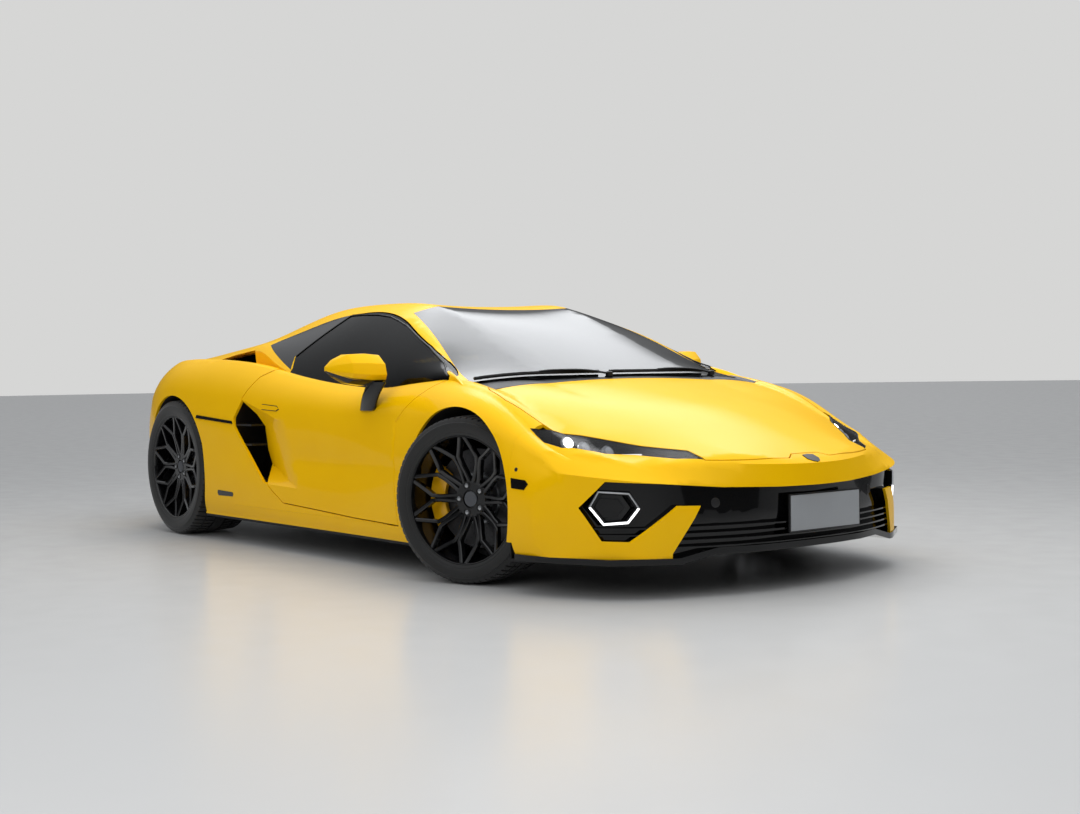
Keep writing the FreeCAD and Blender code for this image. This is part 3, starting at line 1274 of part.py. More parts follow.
def caliper_shape(wheel, middle_angle):
    """Brake caliper that straddles the disc, about an angle from straight ahead."""
    outer = wheel.turn / 2 + mm("caliper_over")
    inner = outer - mm("caliper_radial")
    low = wheel.inset - mm("caliper_clearance") - mm("caliper_half_wall")
    high = wheel.inset + mm("disc_thickness") + mm("caliper_clearance") + mm("caliper_half_wall")
    block = turned([(low, inner), (low, outer), (high, outer), (high, inner)])
    slot_low = wheel.inset - mm("caliper_clearance")
    slot_high = wheel.inset + mm("disc_thickness") + mm("caliper_clearance")
    rim_slot = wheel.turn / 2 + mm("caliper_clearance")
    block = block.cut(turned([(slot_low, inner - overrun), (slot_low, rim_slot), (slot_high, rim_slot),
                              (slot_high, inner - overrun)]))
    half_angle = math.radians(mm("caliper_length_angle") / 2)
    reach = outer * 2
    wedge = Part.Face(Part.makePolygon([
        Vector(0, low, 0), Vector(reach * math.cos(half_angle), low, reach * math.sin(half_angle)),
        Vector(reach * math.cos(half_angle), low, -reach * math.sin(half_angle)), Vector(0, low, 0)]))
    block = single(block.common(wedge.extrude(LEFTWARD * (high - low))))
    bracket = Part.makeBox(inner + skin_wall - mm("knuckle_width") / 2, mm("caliper_half_wall"),
                           mm("bracket_height"),
                           Vector(mm("knuckle_width") / 2, low, -mm("bracket_height") / 2))
    block = block.fuse(bracket)
    block.rotate(Vector(0, 0, 0), LEFTWARD, -middle_angle)
    return block


half_front = mm("front_track") / 2
half_rear = mm("rear_track") / 2
steer = mm("rest_steer_angle")
corners = {
    "front_left": (front_wheel, front_axle_x, half_front, front_axle_level, steer, 180),
    "front_right": (front_wheel, front_axle_x, -half_front, front_axle_level, steer, 180),
    "rear_left": (rear_wheel, rear_axle_x, half_rear, rear_axle_level, 0, 0),
    "rear_right": (rear_wheel, rear_axle_x, -half_rear, rear_axle_level, 0, 0),
}
for side, (wheel, x, y, z, turn, caliper_angle) in corners.items():
    at_axle = FreeCAD.Placement(Vector(x, y, z), FreeCAD.Rotation(UP, turn))
    pieces = {"tyre": tyre_shape(wheel), "rim": rim_shape(wheel), "brake_disc": disc_shape(wheel),
              "knuckle": knuckle_shape(wheel), "caliper": caliper_shape(wheel, caliper_angle)}
    for name, piece in pieces.items():
        add_shape(f"{name}_{side}", piece if y > 0 else mirror(piece), at_axle)

# Suspension: wishbones from the subframes to each upright, with a ball joint's gap
def upright_level(wheel_level, side):
    """Level of an upright's top or bottom face."""
    return wheel_level + side * mm("knuckle_height") / 2


def wishbones(wheel, axle_x, track_half, wheel_level, rail_y, post):
    """Upper and lower arms on the left, with the ball posts that carry the upright."""
    wall = mm("arm_wall")
    back = wheel.inset - mm("knuckle_gap") - mm("knuckle_depth")
    arms = []
    for side in (1, -1):
        face = upright_level(wheel_level, side) + side * mm("axle_fit")
        low = min(face, face + side * wall)
        reach_y = track_half + back + mm("knuckle_depth") + post
        outline = [Vector(axle_x - mm("arm_half_foot"), rail_y, low),
                   Vector(axle_x + mm("arm_half_foot"), rail_y, low),
                   Vector(axle_x + mm("arm_half_tip"), reach_y, low),
                   Vector(axle_x - mm("arm_half_tip"), reach_y, low)]
        arm_plate = Part.Face(Part.makePolygon(outline + [outline[0]])).extrude(UP * wall)
        hole_x = mm("arm_half_foot") - wall
        hole_reach = reach_y - mm("knuckle_depth")
        hole_outline = [Vector(axle_x - hole_x, rail_y + wall, low),
                        Vector(axle_x + hole_x, rail_y + wall, low),
                        Vector(axle_x, hole_reach, low)]
        hole = Part.Face(Part.makePolygon(hole_outline + [hole_outline[0]])).extrude(UP * wall)
        arms.append(arm_plate.cut(hole))
    return arms


front_rail_y = mm("front_rail_y")
rear_rail_y = mm("rear_rail_y")
front_arms = wishbones(front_wheel, front_axle_x, half_front, front_axle_level, front_rail_y,
                       mm("arm_overlap") - mm("knuckle_depth"))
rear_arms = wishbones(rear_wheel, rear_axle_x, half_rear, rear_axle_level, rear_rail_y, 0)
add_shape("front_suspension", Part.makeCompound(front_arms + [mirror(arm) for arm in front_arms]))
shaft_end = half_rear + rear_wheel.inset - mm("knuckle_gap") - mm("knuckle_depth")
drive_shaft = Part.makeCylinder(mm("drive_shaft_diameter") / 2, shaft_end - rear_rail_y,
                                Vector(rear_axle_x, rear_rail_y, rear_axle_level), LEFTWARD)
rear_links = rear_arms + [drive_shaft]
add_shape("rear_suspension", Part.makeCompound(rear_links + [mirror(link) for link in rear_links]))


def subframe(x_low, x_high, rail_y, z_low, z_high, cross_xs):
    """Two boxed rails along the car, tied by cross members."""
    width = mm("rail_width")
    pieces = [box(x_low, x_high, rail_y - width, rail_y, z_low, z_high),
              box(x_low, x_high, -rail_y, width - rail_y, z_low, z_high)]
    pieces += [box(x, x + width, -rail_y, rail_y, z_low, z_low + width) for x in cross_xs]
    return pieces[0].multiFuse(pieces[1:]).removeSplitter()


rail_top_front = upright_level(front_axle_level, 1) + mm("arm_wall") + skin_wall
front_frame = subframe(tub_front_x + tub_wall, mm("front_rail_end_x"), front_rail_y, floor_level,
                       rail_top_front, [mm("front_rail_end_x") - mm("rail_width"),
                                        front_axle_x - mm("rail_width") / 2])
add_shape("front_subframe", front_frame)
rail_top_rear = upright_level(rear_axle_level, 1) + mm("arm_wall") + skin_wall
rear_frame = subframe(mm("rear_rail_end_x"), tub_rear_x, rear_rail_y, floor_level, rail_top_rear,
                      [mm("rear_rail_end_x"), rear_axle_x - mm("rail_width") / 2])
add_shape("rear_subframe", rear_frame.cut(Part.makeBox(
    mm("engine_length"), mm("engine_width"), mm("engine_height"),
    Vector(tub_rear_x - mm("engine_length") - shut_gap, -mm("engine_width") / 2, floor_level))))

bin_wall = mm("bin_wall")
bin_half = front_rail_y - mm("rail_width")
bin_outer = box(mm("bin_rear_x"), mm("bin_front_x"), -bin_half, bin_half, mm("bin_floor"), mm("bin_top"))
bin_inner = box(mm("bin_rear_x") + bin_wall, mm("bin_front_x") - bin_wall, bin_wall - bin_half,
                bin_half - bin_wall, mm("bin_floor") + bin_wall, ceiling)
add_shape("front_luggage_tub", bin_outer.cut(bin_inner))


# Cabin
def seat_shape(middle_y):
    """Plain bucket seat: cushion, leaning back and headrest in one closed solid."""
    outline = [Vector(x * mm("seat_depth") + mm("seat_x"), middle_y - mm("seat_width") / 2,
                      z * mm("seat_height") + floor_level + tub_wall)
               for x, z in seat_side_shares]
    return Part.Face(Part.makePolygon(outline + [outline[0]])).extrude(LEFTWARD * mm("seat_width"))


seat_side_shares = ((0.02, 0), (1, 0), (1, 0.3), (0.95, 0.36), (0.36, 0.27), (0.06, 0.86), (0.03, 1),
                    (-0.12, 1), (-0.12, 0.8), (0.02, 0.2))
seats = [seat_shape(mm("seat_y")), seat_shape(-mm("seat_y"))]
add_shape("seats", Part.makeCompound(seats))

dash_side_shares = (
    (0, 0.55), (0.16, 0.42), (0.35, 0.38), (0.4, 0), (0.95, 0), (0.95, 0.6), (0.6, 1), (0.12, 0.97),
)
dash_outline = [Vector(mm("dash_rear_x") + x * mm("dash_depth"), -mm("dash_half_width"),
                       mm("dash_low") + z * mm("dash_height")) for x, z in dash_side_shares]
dash = Part.Face(Part.makePolygon(dash_outline + [dash_outline[0]])).extrude(
    LEFTWARD * (2 * mm("dash_half_width")))
console = box(mm("console_rear_x"), mm("dash_rear_x") + mm("dash_depth") / 2, -mm("tunnel_half_width"),
              mm("tunnel_half_width"), mm("tunnel_top"), mm("console_top"))
dash = dash.fuse(console)
dash = cut_both(cut_both(dash, door_turn(shut_gap)), front_liner_cut)
column_base = Vector(mm("wheel_hub_x"), mm("seat_y"), mm("wheel_hub_level"))
column_tilt = math.radians(mm("column_tilt"))
column_axis = Vector(math.cos(column_tilt), 0, -math.sin(column_tilt))
column = Part.makeCylinder(mm("column_diameter") / 2, mm("column_length"),
                           column_base + column_axis * mm("column_gap"), column_axis)
dash = dash.fuse(column)
add_shape("dashboard", single(dash))

rim_centre = column_base - column_axis * mm("steering_dish")
steering_rim = Part.makeTorus(mm("steering_rim_diameter") / 2, mm("steering_rim_section") / 2,
                              rim_centre, column_axis)
steering_boss = Part.makeCylinder(mm("steering_boss_diameter") / 2, mm("steering_dish"),
                                  rim_centre, column_axis)
spokes = []
for angle in (0, 90, 270):
    spoke = Part.makeBox(mm("steering_rim_diameter") / 2, mm("steering_spoke_width"),
                         mm("steering_spoke_wall"), Vector(0, -mm("steering_spoke_width") / 2, 0))
    spoke.rotate(Vector(0, 0, 0), UP, angle)
    spokes.append(spoke)
cross = spokes[0].multiFuse(spokes[1:])
cross.Placement = FreeCAD.Placement(rim_centre, FreeCAD.Rotation(UP, column_axis))
add_shape("steering_wheel", steering_rim.multiFuse([steering_boss, cross]).removeSplitter())


# Doors with their glass and mirrors
mirror_width = mm("mirror_width")
mirror_centre = Vector(mm("mirror_x"), mm("mirror_y"), mm("mirror_level"))


def mirror_section(y_share, size_share):
    """Closed outline of the mirror's shell across the car."""
    points = [mirror_centre + Vector(x * mm("mirror_depth") * size_share, y_share * mirror_width,
                                     z * mm("mirror_height") * size_share)
              for x, z in mirror_side_shares]
    return Part.makePolygon(points + [points[0]])


mirror_side_shares = ((-0.5, -0.46), (-0.5, 0.42), (-0.25, 0.5), (0.12, 0.46), (0.42, 0.2), (0.5, -0.12),
                      (0.38, -0.42), (0.1, -0.5))
mirror_size_shares = ((-0.5, 1), (0.25, 0.94), (0.5, 0.62))
mirror_cap = Part.makeLoft([mirror_section(*shares) for shares in mirror_size_shares], True, True)
stalk_foot = Vector(mm("stalk_foot_x"), mm("stalk_foot_y"), mm("stalk_foot_level"))
stalk_line = Vector(mm("stalk_top_x"), mm("stalk_top_y"), mm("stalk_top_level")) - stalk_foot
stalk = Part.makeBox(mm("stalk_width"), mm("stalk_wall"), stalk_line.Length,
                     Vector(-mm("stalk_width") / 2, -mm("stalk_wall") / 2, 0))
stalk.Placement = FreeCAD.Placement(stalk_foot, FreeCAD.Rotation(UP, stalk_line)).multiply(stalk.Placement)
left_mirror = single(mirror_cap.fuse(stalk).cut([left_door, left_door_glass]))

for side, turn_side in (("left", lambda shape: shape), ("right", mirror)):
    add_shape("door_" + side, turn_side(left_door))
    add_shape("door_glass_" + side, turn_side(left_door_glass))
    add_shape("mirror_" + side, turn_side(left_mirror))

doc.recompute()

for item in doc.Objects:
    if "Invalid" in item.State or "Error" in item.State:
        raise RuntimeError(f"{item.Label} did not recompute")
for label, item in parts.items():
    if item.Shape.isNull() or not item.Shape.isValid():
        raise RuntimeError(f"{label} has no valid shape")

os.makedirs("parts", exist_ok=True)
for label, item in parts.items():
    item.Shape.exportStep(f"parts/{label}.step")
    bounds = item.Shape.BoundBox
    print(f"{label}: {len(item.Shape.Solids)} solids, {item.Shape.Volume / 1e6:.2f} litres,"
          f" z {bounds.ZMin:.0f} to {bounds.ZMax:.0f}")
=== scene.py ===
"""Looks of a mid-engined two-seat supercar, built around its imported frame.

Metres throughout: X runs forward, Y to the left, Z up, and the origin lies on the
ground at the middle of the car.  Each sub-assembly is a class whose sizes are its
dataclass fields; each finish is a frozen dataclass that builds one material.
"""

import json
import logging
import math
from dataclasses import dataclass
from enum import Enum
from typing import Callable, Iterable, Sequence

import bmesh
import bpy
from mathutils import Matrix, Vector
from mathutils.bvhtree import BVHTree

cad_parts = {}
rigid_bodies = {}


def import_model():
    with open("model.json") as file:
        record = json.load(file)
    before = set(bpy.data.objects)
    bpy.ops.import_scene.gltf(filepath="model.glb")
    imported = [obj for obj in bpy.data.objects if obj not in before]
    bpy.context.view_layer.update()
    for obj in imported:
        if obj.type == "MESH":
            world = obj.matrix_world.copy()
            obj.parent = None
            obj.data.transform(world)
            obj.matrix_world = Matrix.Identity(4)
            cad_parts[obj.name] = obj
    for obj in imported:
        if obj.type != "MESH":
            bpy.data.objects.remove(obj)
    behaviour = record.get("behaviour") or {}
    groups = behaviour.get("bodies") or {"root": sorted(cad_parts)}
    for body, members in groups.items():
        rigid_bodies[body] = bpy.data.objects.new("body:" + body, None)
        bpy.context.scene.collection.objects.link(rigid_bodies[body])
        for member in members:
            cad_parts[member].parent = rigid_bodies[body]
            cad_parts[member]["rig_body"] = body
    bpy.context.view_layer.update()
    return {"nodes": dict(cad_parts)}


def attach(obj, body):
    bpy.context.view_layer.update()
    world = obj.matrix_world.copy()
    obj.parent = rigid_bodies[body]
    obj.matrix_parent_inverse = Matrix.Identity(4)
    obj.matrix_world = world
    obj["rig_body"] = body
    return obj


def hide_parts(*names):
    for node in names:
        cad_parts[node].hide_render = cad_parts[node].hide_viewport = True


Shape = bmesh.types.BMesh
Outline = Sequence[tuple[float, float]]
Finder = Callable[[float, float, float], Vector]

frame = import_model()
LOG = logging.getLogger("supercar")
MM = 0.001
FULL_TURN = 2 * math.pi
SIDES = (("left", 1), ("right", -1))
# Stretch of a pattern: none, or drawn out along X as brushing leaves it
EVEN_SCALE = (1.0, 1.0, 1.0)
BRUSHED_SCALE = (0.05, 1.0, 1.0)
# Slow drift of colour and gloss over every patterned surface
CLOUDS_PER_METRE = 6.0
# Distance within which the loose triangles of a node are joined
WELD = 0.00002


class Pattern(Enum):
    """What breaks up a surface at small scale."""

    PLAIN = "plain"
    PEEL = "peel"
    GRAIN = "grain"
    BRUSHED = "brushed"
    CAST = "cast"


def linear(code: str) -> tuple[float, float, float, float]:
    """Turn an sRGB hex code into linear colour.

    Args:
        code: Six hex digits.

    Returns:
        Red, green, blue and an alpha of one.
    """
    parts = [int(code[i:i + 2], 16) / 255 for i in (0, 2, 4)]
    toned = [c / 12.92 if c <= 0.04045 else ((c + 0.055) / 1.055) ** 2.4 for c in parts]
    return toned[0], toned[1], toned[2], 1.0


def add_node(tree: bpy.types.NodeTree, kind: str, settings: dict | None = None,
             links: dict | None = None) -> bpy.types.Node:
    """Add one shader node.

    Args:
        tree: Node tree that gets the node.
        kind: The node's type name without its prefix.
        settings: Attribute names, or input names and numbers, with their values.
        links: Input names or numbers with the output sockets that feed them.

    Returns:
        The new node.
    """
    node = tree.nodes.new("ShaderNode" + kind)
    for key, value in (settings or {}).items():
        if isinstance(key, str) and hasattr(node, key):
            setattr(node, key, value)
        else:
            node.inputs[key].default_value = value
    for key, socket in (links or {}).items():
        tree.links.new(socket, node.inputs[key])
    return node


@dataclass(frozen=True)
class Finish:
    """One surface: its colour, gloss and small-scale pattern.

    The colour drifts to the second one and the roughness goes up and down by the spread.
    Pitch and relief are the pattern's real sizes.
    """

    name: str
    colour: str
    second: str = ""
    roughness: float = 0.4
    spread: float = 0.05
    metallic: float = 0.0
    coat: float = 0.0
    coat_roughness: float = 0.03
    ior: float = 1.5
    transmission: float = 0.0
    alpha: float = 1.0
    glow: float = 0.0
    sheen: float = 0.0
    specular: float = 0.5
    pattern: Pattern = Pattern.PEEL
    pitch_mm: float = 4.0
    relief_mm: float = 0.02

    def build(self) -> bpy.types.Material:
        """Build the material, once.

        Returns:
            The material with this finish's name.
        """
        found = bpy.data.materials.get(self.name)
        if found:
            return found
        material = bpy.data.materials.new(self.name)
        material.use_nodes = True
        tree = material.node_tree
        tree.nodes.clear()
        place = add_node(tree, "TexCoord")
        shader = add_node(tree, "BsdfPrincipled", {
            "Metallic": self.metallic, "IOR": self.ior, "Coat Weight": self.coat,
            "Coat Roughness": self.coat_roughness, "Transmission Weight": self.transmission,
            "Alpha": self.alpha, "Sheen Weight": self.sheen, "Emission Strength": self.glow,
            "Specular IOR Level": self.specular, "Emission Color": linear(self.colour),
            "Roughness": self.roughness, "Base Color": linear(self.colour)})
        if self.pattern is not Pattern.PLAIN:
            self._dress(tree, place.outputs["Object"], shader)
        add_node(tree, "OutputMaterial", links={"Surface": shader.outputs[0]})
        return material

    def _dress(self, tree: bpy.types.NodeTree, spot: bpy.types.NodeSocket,
               shader: bpy.types.Node) -> None:
        """Feed colour, roughness and bump from the pattern.

        Args:
            tree: The material's node tree.
            spot: Socket with object coordinates.
            shader: The surface shader.
        """
        per_metre = 1 / (self.pitch_mm * MM)
        scale = BRUSHED_SCALE if self.pattern is Pattern.BRUSHED else EVEN_SCALE
        turned = add_node(tree, "Mapping", {"Scale": scale}, {"Vector": spot}).outputs[0]
        if self.pattern is Pattern.GRAIN:
            value = add_node(tree, "TexVoronoi", {"Scale": per_metre},
                             {"Vector": turned}).outputs["Distance"]
        else:
            value = add_node(tree, "TexNoise", {"Scale": per_metre, "Detail": 2.0},
                             {"Vector": turned}).outputs["Fac"]
        cloud = add_node(tree, "TexNoise", {"Scale": CLOUDS_PER_METRE, "Detail": 3.0},
                         {"Vector": spot}).outputs["Fac"]
        tint = add_node(tree, "Mix", {"data_type": "RGBA", 6: linear(self.colour),
                                      7: linear(self.second or self.colour)},
                        {0: cloud if self.pattern is Pattern.PEEL else value})
        tree.links.new(tint.outputs[2], shader.inputs["Base Color"])
        gloss = add_node(tree, "MapRange", {"To Min": max(self.roughness - self.spread, 0.0),
                                            "To Max": self.roughness + self.spread},
                         {"Value": cloud})
        tree.links.new(gloss.outputs[0], shader.inputs["Roughness"])
        bump = add_node(tree, "Bump", {"Strength": 1.0, "Distance": self.relief_mm * MM},
                        {"Height": value})
        tree.links.new(bump.outputs[0], shader.inputs["Normal"])


# Poured floor resin: pale, even and softly glossy
FLOOR_RESIN = Finish("resin_floor", "CFCFCE", "C9C9C8", 0.24, 0.05, specular=0.4, pitch_mm=900.0,
                     relief_mm=0.0)
# Solid two-stage car enamel: an even yellow under a hard clear coat with faint orange peel
PAINT = Finish("enamel_yellow", "FBC400", "F8BE00", 0.4, 0.03, coat=0.28, coat_roughness=0.02,
               specular=0.03, pitch_mm=3.0, relief_mm=0.001)
# Moulded and polished acrylic trim: deep black that mirrors the room
GLOSS_BLACK = Finish("acrylic_gloss_black", "060607", "0A0A0B", 0.08, 0.03, coat=0.45,
                     specular=0.15, pitch_mm=5.0, relief_mm=0.001)
# Grained polypropylene: matt and slightly grey
SATIN_BLACK = Finish("polypropylene_satin_black", "0E0E0F", "151516", 0.45, 0.08, pitch_mm=0.8,
                     relief_mm=0.03)
# Pressed underbody plastic: dull and rough
UNDER_BLACK = Finish("polypropylene_under", "101011", "1A1A1A", 0.7, 0.1, pitch_mm=2.0,
                     relief_mm=0.05)
# Vulcanised tread rubber: matt with a dusty sheen
TYRE_RUBBER = Finish("rubber_tyre", "111111", "1A1A19", 0.62, 0.1, sheen=0.15, pitch_mm=1.2,
                     relief_mm=0.05)
# Extruded seal rubber: dull black with a weak, soft highlight
SEAL_RUBBER = Finish("rubber_seal", "0B0B0B", "121212", 0.5, 0.08, pitch_mm=1.0, relief_mm=0.02)
# Forged alloy under gloss black lacquer: sharp highlights along the ribs
ALLOY_BLACK = Finish("alloy_gloss_black", "08080A", "0D0D0E", 0.22, 0.06, coat=0.6,
                     coat_roughness=0.05, specular=0.25, pitch_mm=4.0, relief_mm=0.002)
# Carbon-ceramic disc: dark grey and faintly speckled
DISC_CERAMIC = Finish("ceramic_disc", "3A3A3C", "545456", 0.38, 0.08, metallic=0.6, pitch_mm=1.5,
                      relief_mm=0.01)
# Machined aluminium: bright, with highlights drawn out along its fine lines
ALUMINIUM = Finish("aluminium_machined", "A9ABAE", "B9BBBE", 0.3, 0.06, metallic=1.0,
                   pattern=Pattern.BRUSHED, pitch_mm=1.0, relief_mm=0.004)
# Sand-cast aluminium of uprights and engine: grey, pitted and broken up
CAST_METAL = Finish("aluminium_cast", "5C5E61", "73757A", 0.55, 0.1, metallic=0.9,
                    pattern=Pattern.CAST, pitch_mm=1.5, relief_mm=0.08)
# Powder-coated steel of arms and subframes: black with a satin skin
COATED_STEEL = Finish("steel_powder_black", "161617", "202021", 0.5, 0.08, pitch_mm=1.0,
                      relief_mm=0.02)
# Heat-cured caliper lacquer: warm yellow with a hard gloss
CALIPER_PAINT = Finish("lacquer_caliper_yellow", "FFC107", "FAB700", 0.30, 0.04, coat=0.5,
                       pitch_mm=2.0, relief_mm=0.006)
# Laminated glazing: clear with a grey tint
GLASS = Finish("glass_tinted", "2E3333", "2E3333", 0.02, 0.0, transmission=1.0, ior=1.45,
               pattern=Pattern.PLAIN)
# Privacy glazing of the doors: darker and less mirror-like
SIDE_GLASS = Finish("glass_side_dark", "262A2A", "262A2A", 0.02, 0.0, transmission=1.0, ior=1.2,
                    pattern=Pattern.PLAIN)
# Hard-coated polycarbonate lamp cover: nearly clear, with a sharp highlight
LAMP_GLASS = Finish("polycarbonate_clear", "060607", "060607", 0.02, 0.0, alpha=0.3, ior=1.45,
                    pattern=Pattern.PLAIN)
# Milled leather of seats and trim: fine cells and a soft sheen
LEATHER = Finish("leather_black", "151414", "201F1E", 0.5, 0.08, sheen=0.1,
                 pattern=Pattern.GRAIN, pitch_mm=2.2, relief_mm=0.12)
# Brushed microfibre on the dashboard: matt, with a pale sheen at grazing angles
MICROFIBRE = Finish("microfibre_black", "131313", "1D1C1C", 0.85, 0.05, sheen=0.5, pitch_mm=0.8,
                    relief_mm=0.05)
# Loop carpet of the floor and bulkhead: black loops that take no highlight
CARPET = Finish("carpet_black", "0D0D0D", "171717", 0.95, 0.03, sheen=0.4,
                pattern=Pattern.GRAIN, pitch_mm=2.5, relief_mm=0.6)
# Pressed aluminium plate blank: pale grey with a dull shine
PLATE_GREY = Finish("plate_grey", "8E9194", "9A9DA0", 0.35, 0.05, pitch_mm=3.0, relief_mm=0.01)
# First-surface mirror glass: silver and sharp
MIRROR_SILVER = Finish("mirror_glass", "D8DADC", "D8DADC", 0.01, 0.0, metallic=1.0,
                       pattern=Pattern.PLAIN)
# Heat-tinted exhaust steel: warm grey, drawn out by brushing
EXHAUST_STEEL = Finish("steel_exhaust", "4A4643", "5E5853", 0.32, 0.08, metallic=1.0,
                       pattern=Pattern.BRUSHED, pitch_mm=1.0, relief_mm=0.005)
# Tinted lamp acrylic: dark red under a polished skin
TAIL_RED = Finish("acrylic_dark_red", "3A0407", "4A0609", 0.08, 0.02, coat=1.0, pitch_mm=4.0,
                  relief_mm=0.001)
# Red light pipe: lit evenly
TAIL_GLOW = Finish("light_pipe_red", "F01010", "F01010", 0.3, 0.0, glow=1.2,
                   pattern=Pattern.PLAIN)
# White light pipe of the lamps: lit evenly
LIGHT_PIPE = Finish("light_pipe_white", "FFFFFF", "FFFFFF", 0.3, 0.0, glow=1.6,
                    pattern=Pattern.PLAIN)
# Glass of the inner lamp lenses, which are not lit: a grey glow under a clear skin that is painted
# reflection
LENS_PAINTED_GLOW = Finish("lamp_lens_grey_painted_glow", "9CA0A6", "B4B8BD", 0.08, 0.02, glow=0.8, coat=1.0,
                  pitch_mm=4.0, relief_mm=0.001)
# Metallised reflector rim of the lamps: a soft silver, with a faint glow that is painted reflection
RIM_PAINTED_GLOW = Finish("reflector_rim_painted_glow", "8E9297", "A5A9AE", 0.25, 0.05, metallic=0.5, glow=0.4,
                  pitch_mm=2.0, relief_mm=0.002)
# Lit lamp lens: white and bright
LAMP_GLOW = Finish("lamp_lens_white", "FFFFFF", "FFFFFF", 0.3, 0.0, glow=9.0,
                   pattern=Pattern.PLAIN)

FINISHED_NODES = {
    PAINT: "hood front_fenders front_bumper sills rear_quarters rear_bumper roof rear_deck "
           "door_left door_right mirror_left mirror_right",
    GLOSS_BLACK: "engine_cover headlamps splitter quarter_glass front_grilles rear_grille diffuser",
    SATIN_BLACK: "cowl side_intakes",
    UNDER_BLACK: "undertray arch_liners",
    GLASS: "windscreen",
    SIDE_GLASS: "door_glass_left door_glass_right",
    CARPET: "tub front_luggage_tub",
    LEATHER: "seats steering_wheel",
    MICROFIBRE: "dashboard",
    CAST_METAL: "engine_block",
    COATED_STEEL: "front_subframe rear_subframe front_suspension rear_suspension hinge_brackets",
    TAIL_RED: "tail_lamps",
    EXHAUST_STEEL: "exhaust_tips",
}
NODE_FINISHES = {node: finish for finish, nodes in FINISHED_NODES.items() for node in nodes.split()}
CORNER_FINISHES = {"tyre": TYRE_RUBBER, "rim": ALLOY_BLACK, "brake_disc": DISC_CERAMIC,
                   "knuckle": CAST_METAL, "caliper": CALIPER_PAINT}


def make_piece(name: str, shape: Shape, finish: Finish, body: str = "car",
               replaced: Sequence[str] = (), smooth_angle: float = 35.0) -> bpy.types.Object:
    """Turn a bmesh into a piece that rides on a body.

    Args:
        name: The piece's name.
        shape: The finished bmesh, which is freed.
        finish: The finish of the whole piece.
        body: Body that carries it.
        replaced: Nodes that it stands for.
        smooth_angle: Edges sharper than this many degrees stay sharp.

    Returns:
        The new object.
    """
    mesh = bpy.data.meshes.new(name)
    limit = math.radians(smooth_angle)
    for face in shape.faces:
        face.smooth = True
    for edge in shape.edges:
        edge.smooth = edge.is_manifold and edge.calc_face_angle(0.0) < limit
    shape.to_mesh(mesh)
    shape.free()
    mesh.materials.append(finish.build())
    piece = bpy.data.objects.new(name, mesh)
    bpy.context.scene.collection.objects.link(piece)
    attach(piece, body)
    if replaced:
        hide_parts(*replaced)
    LOG.info("%s: %d faces", name, len(mesh.polygons))
    return piece


@dataclass(frozen=True)
class SoftBox:
    """A lamp behind a rectangular diffuser, which doesn't show in reflections."""

    name: str
    place: tuple[float, float, float]
    aim: tuple[float, float, float]
    width: float
    depth: float
    watts: float

    def hang(self) -> None:
        """Add the lamp to the scene."""
        data = bpy.data.lights.new(self.name, "AREA")
        data.shape = "RECTANGLE"
        data.size, data.size_y = self.width, self.depth
        data.energy = self.watts
        lamp = bpy.data.objects.new(self.name, data)
        lamp.location = self.place
        heading = Vector(self.aim) - Vector(self.place)
        lamp.rotation_euler = heading.to_track_quat("-Z", "Y").to_euler()
        lamp.visible_glossy = False
        bpy.context.scene.collection.objects.link(lamp)


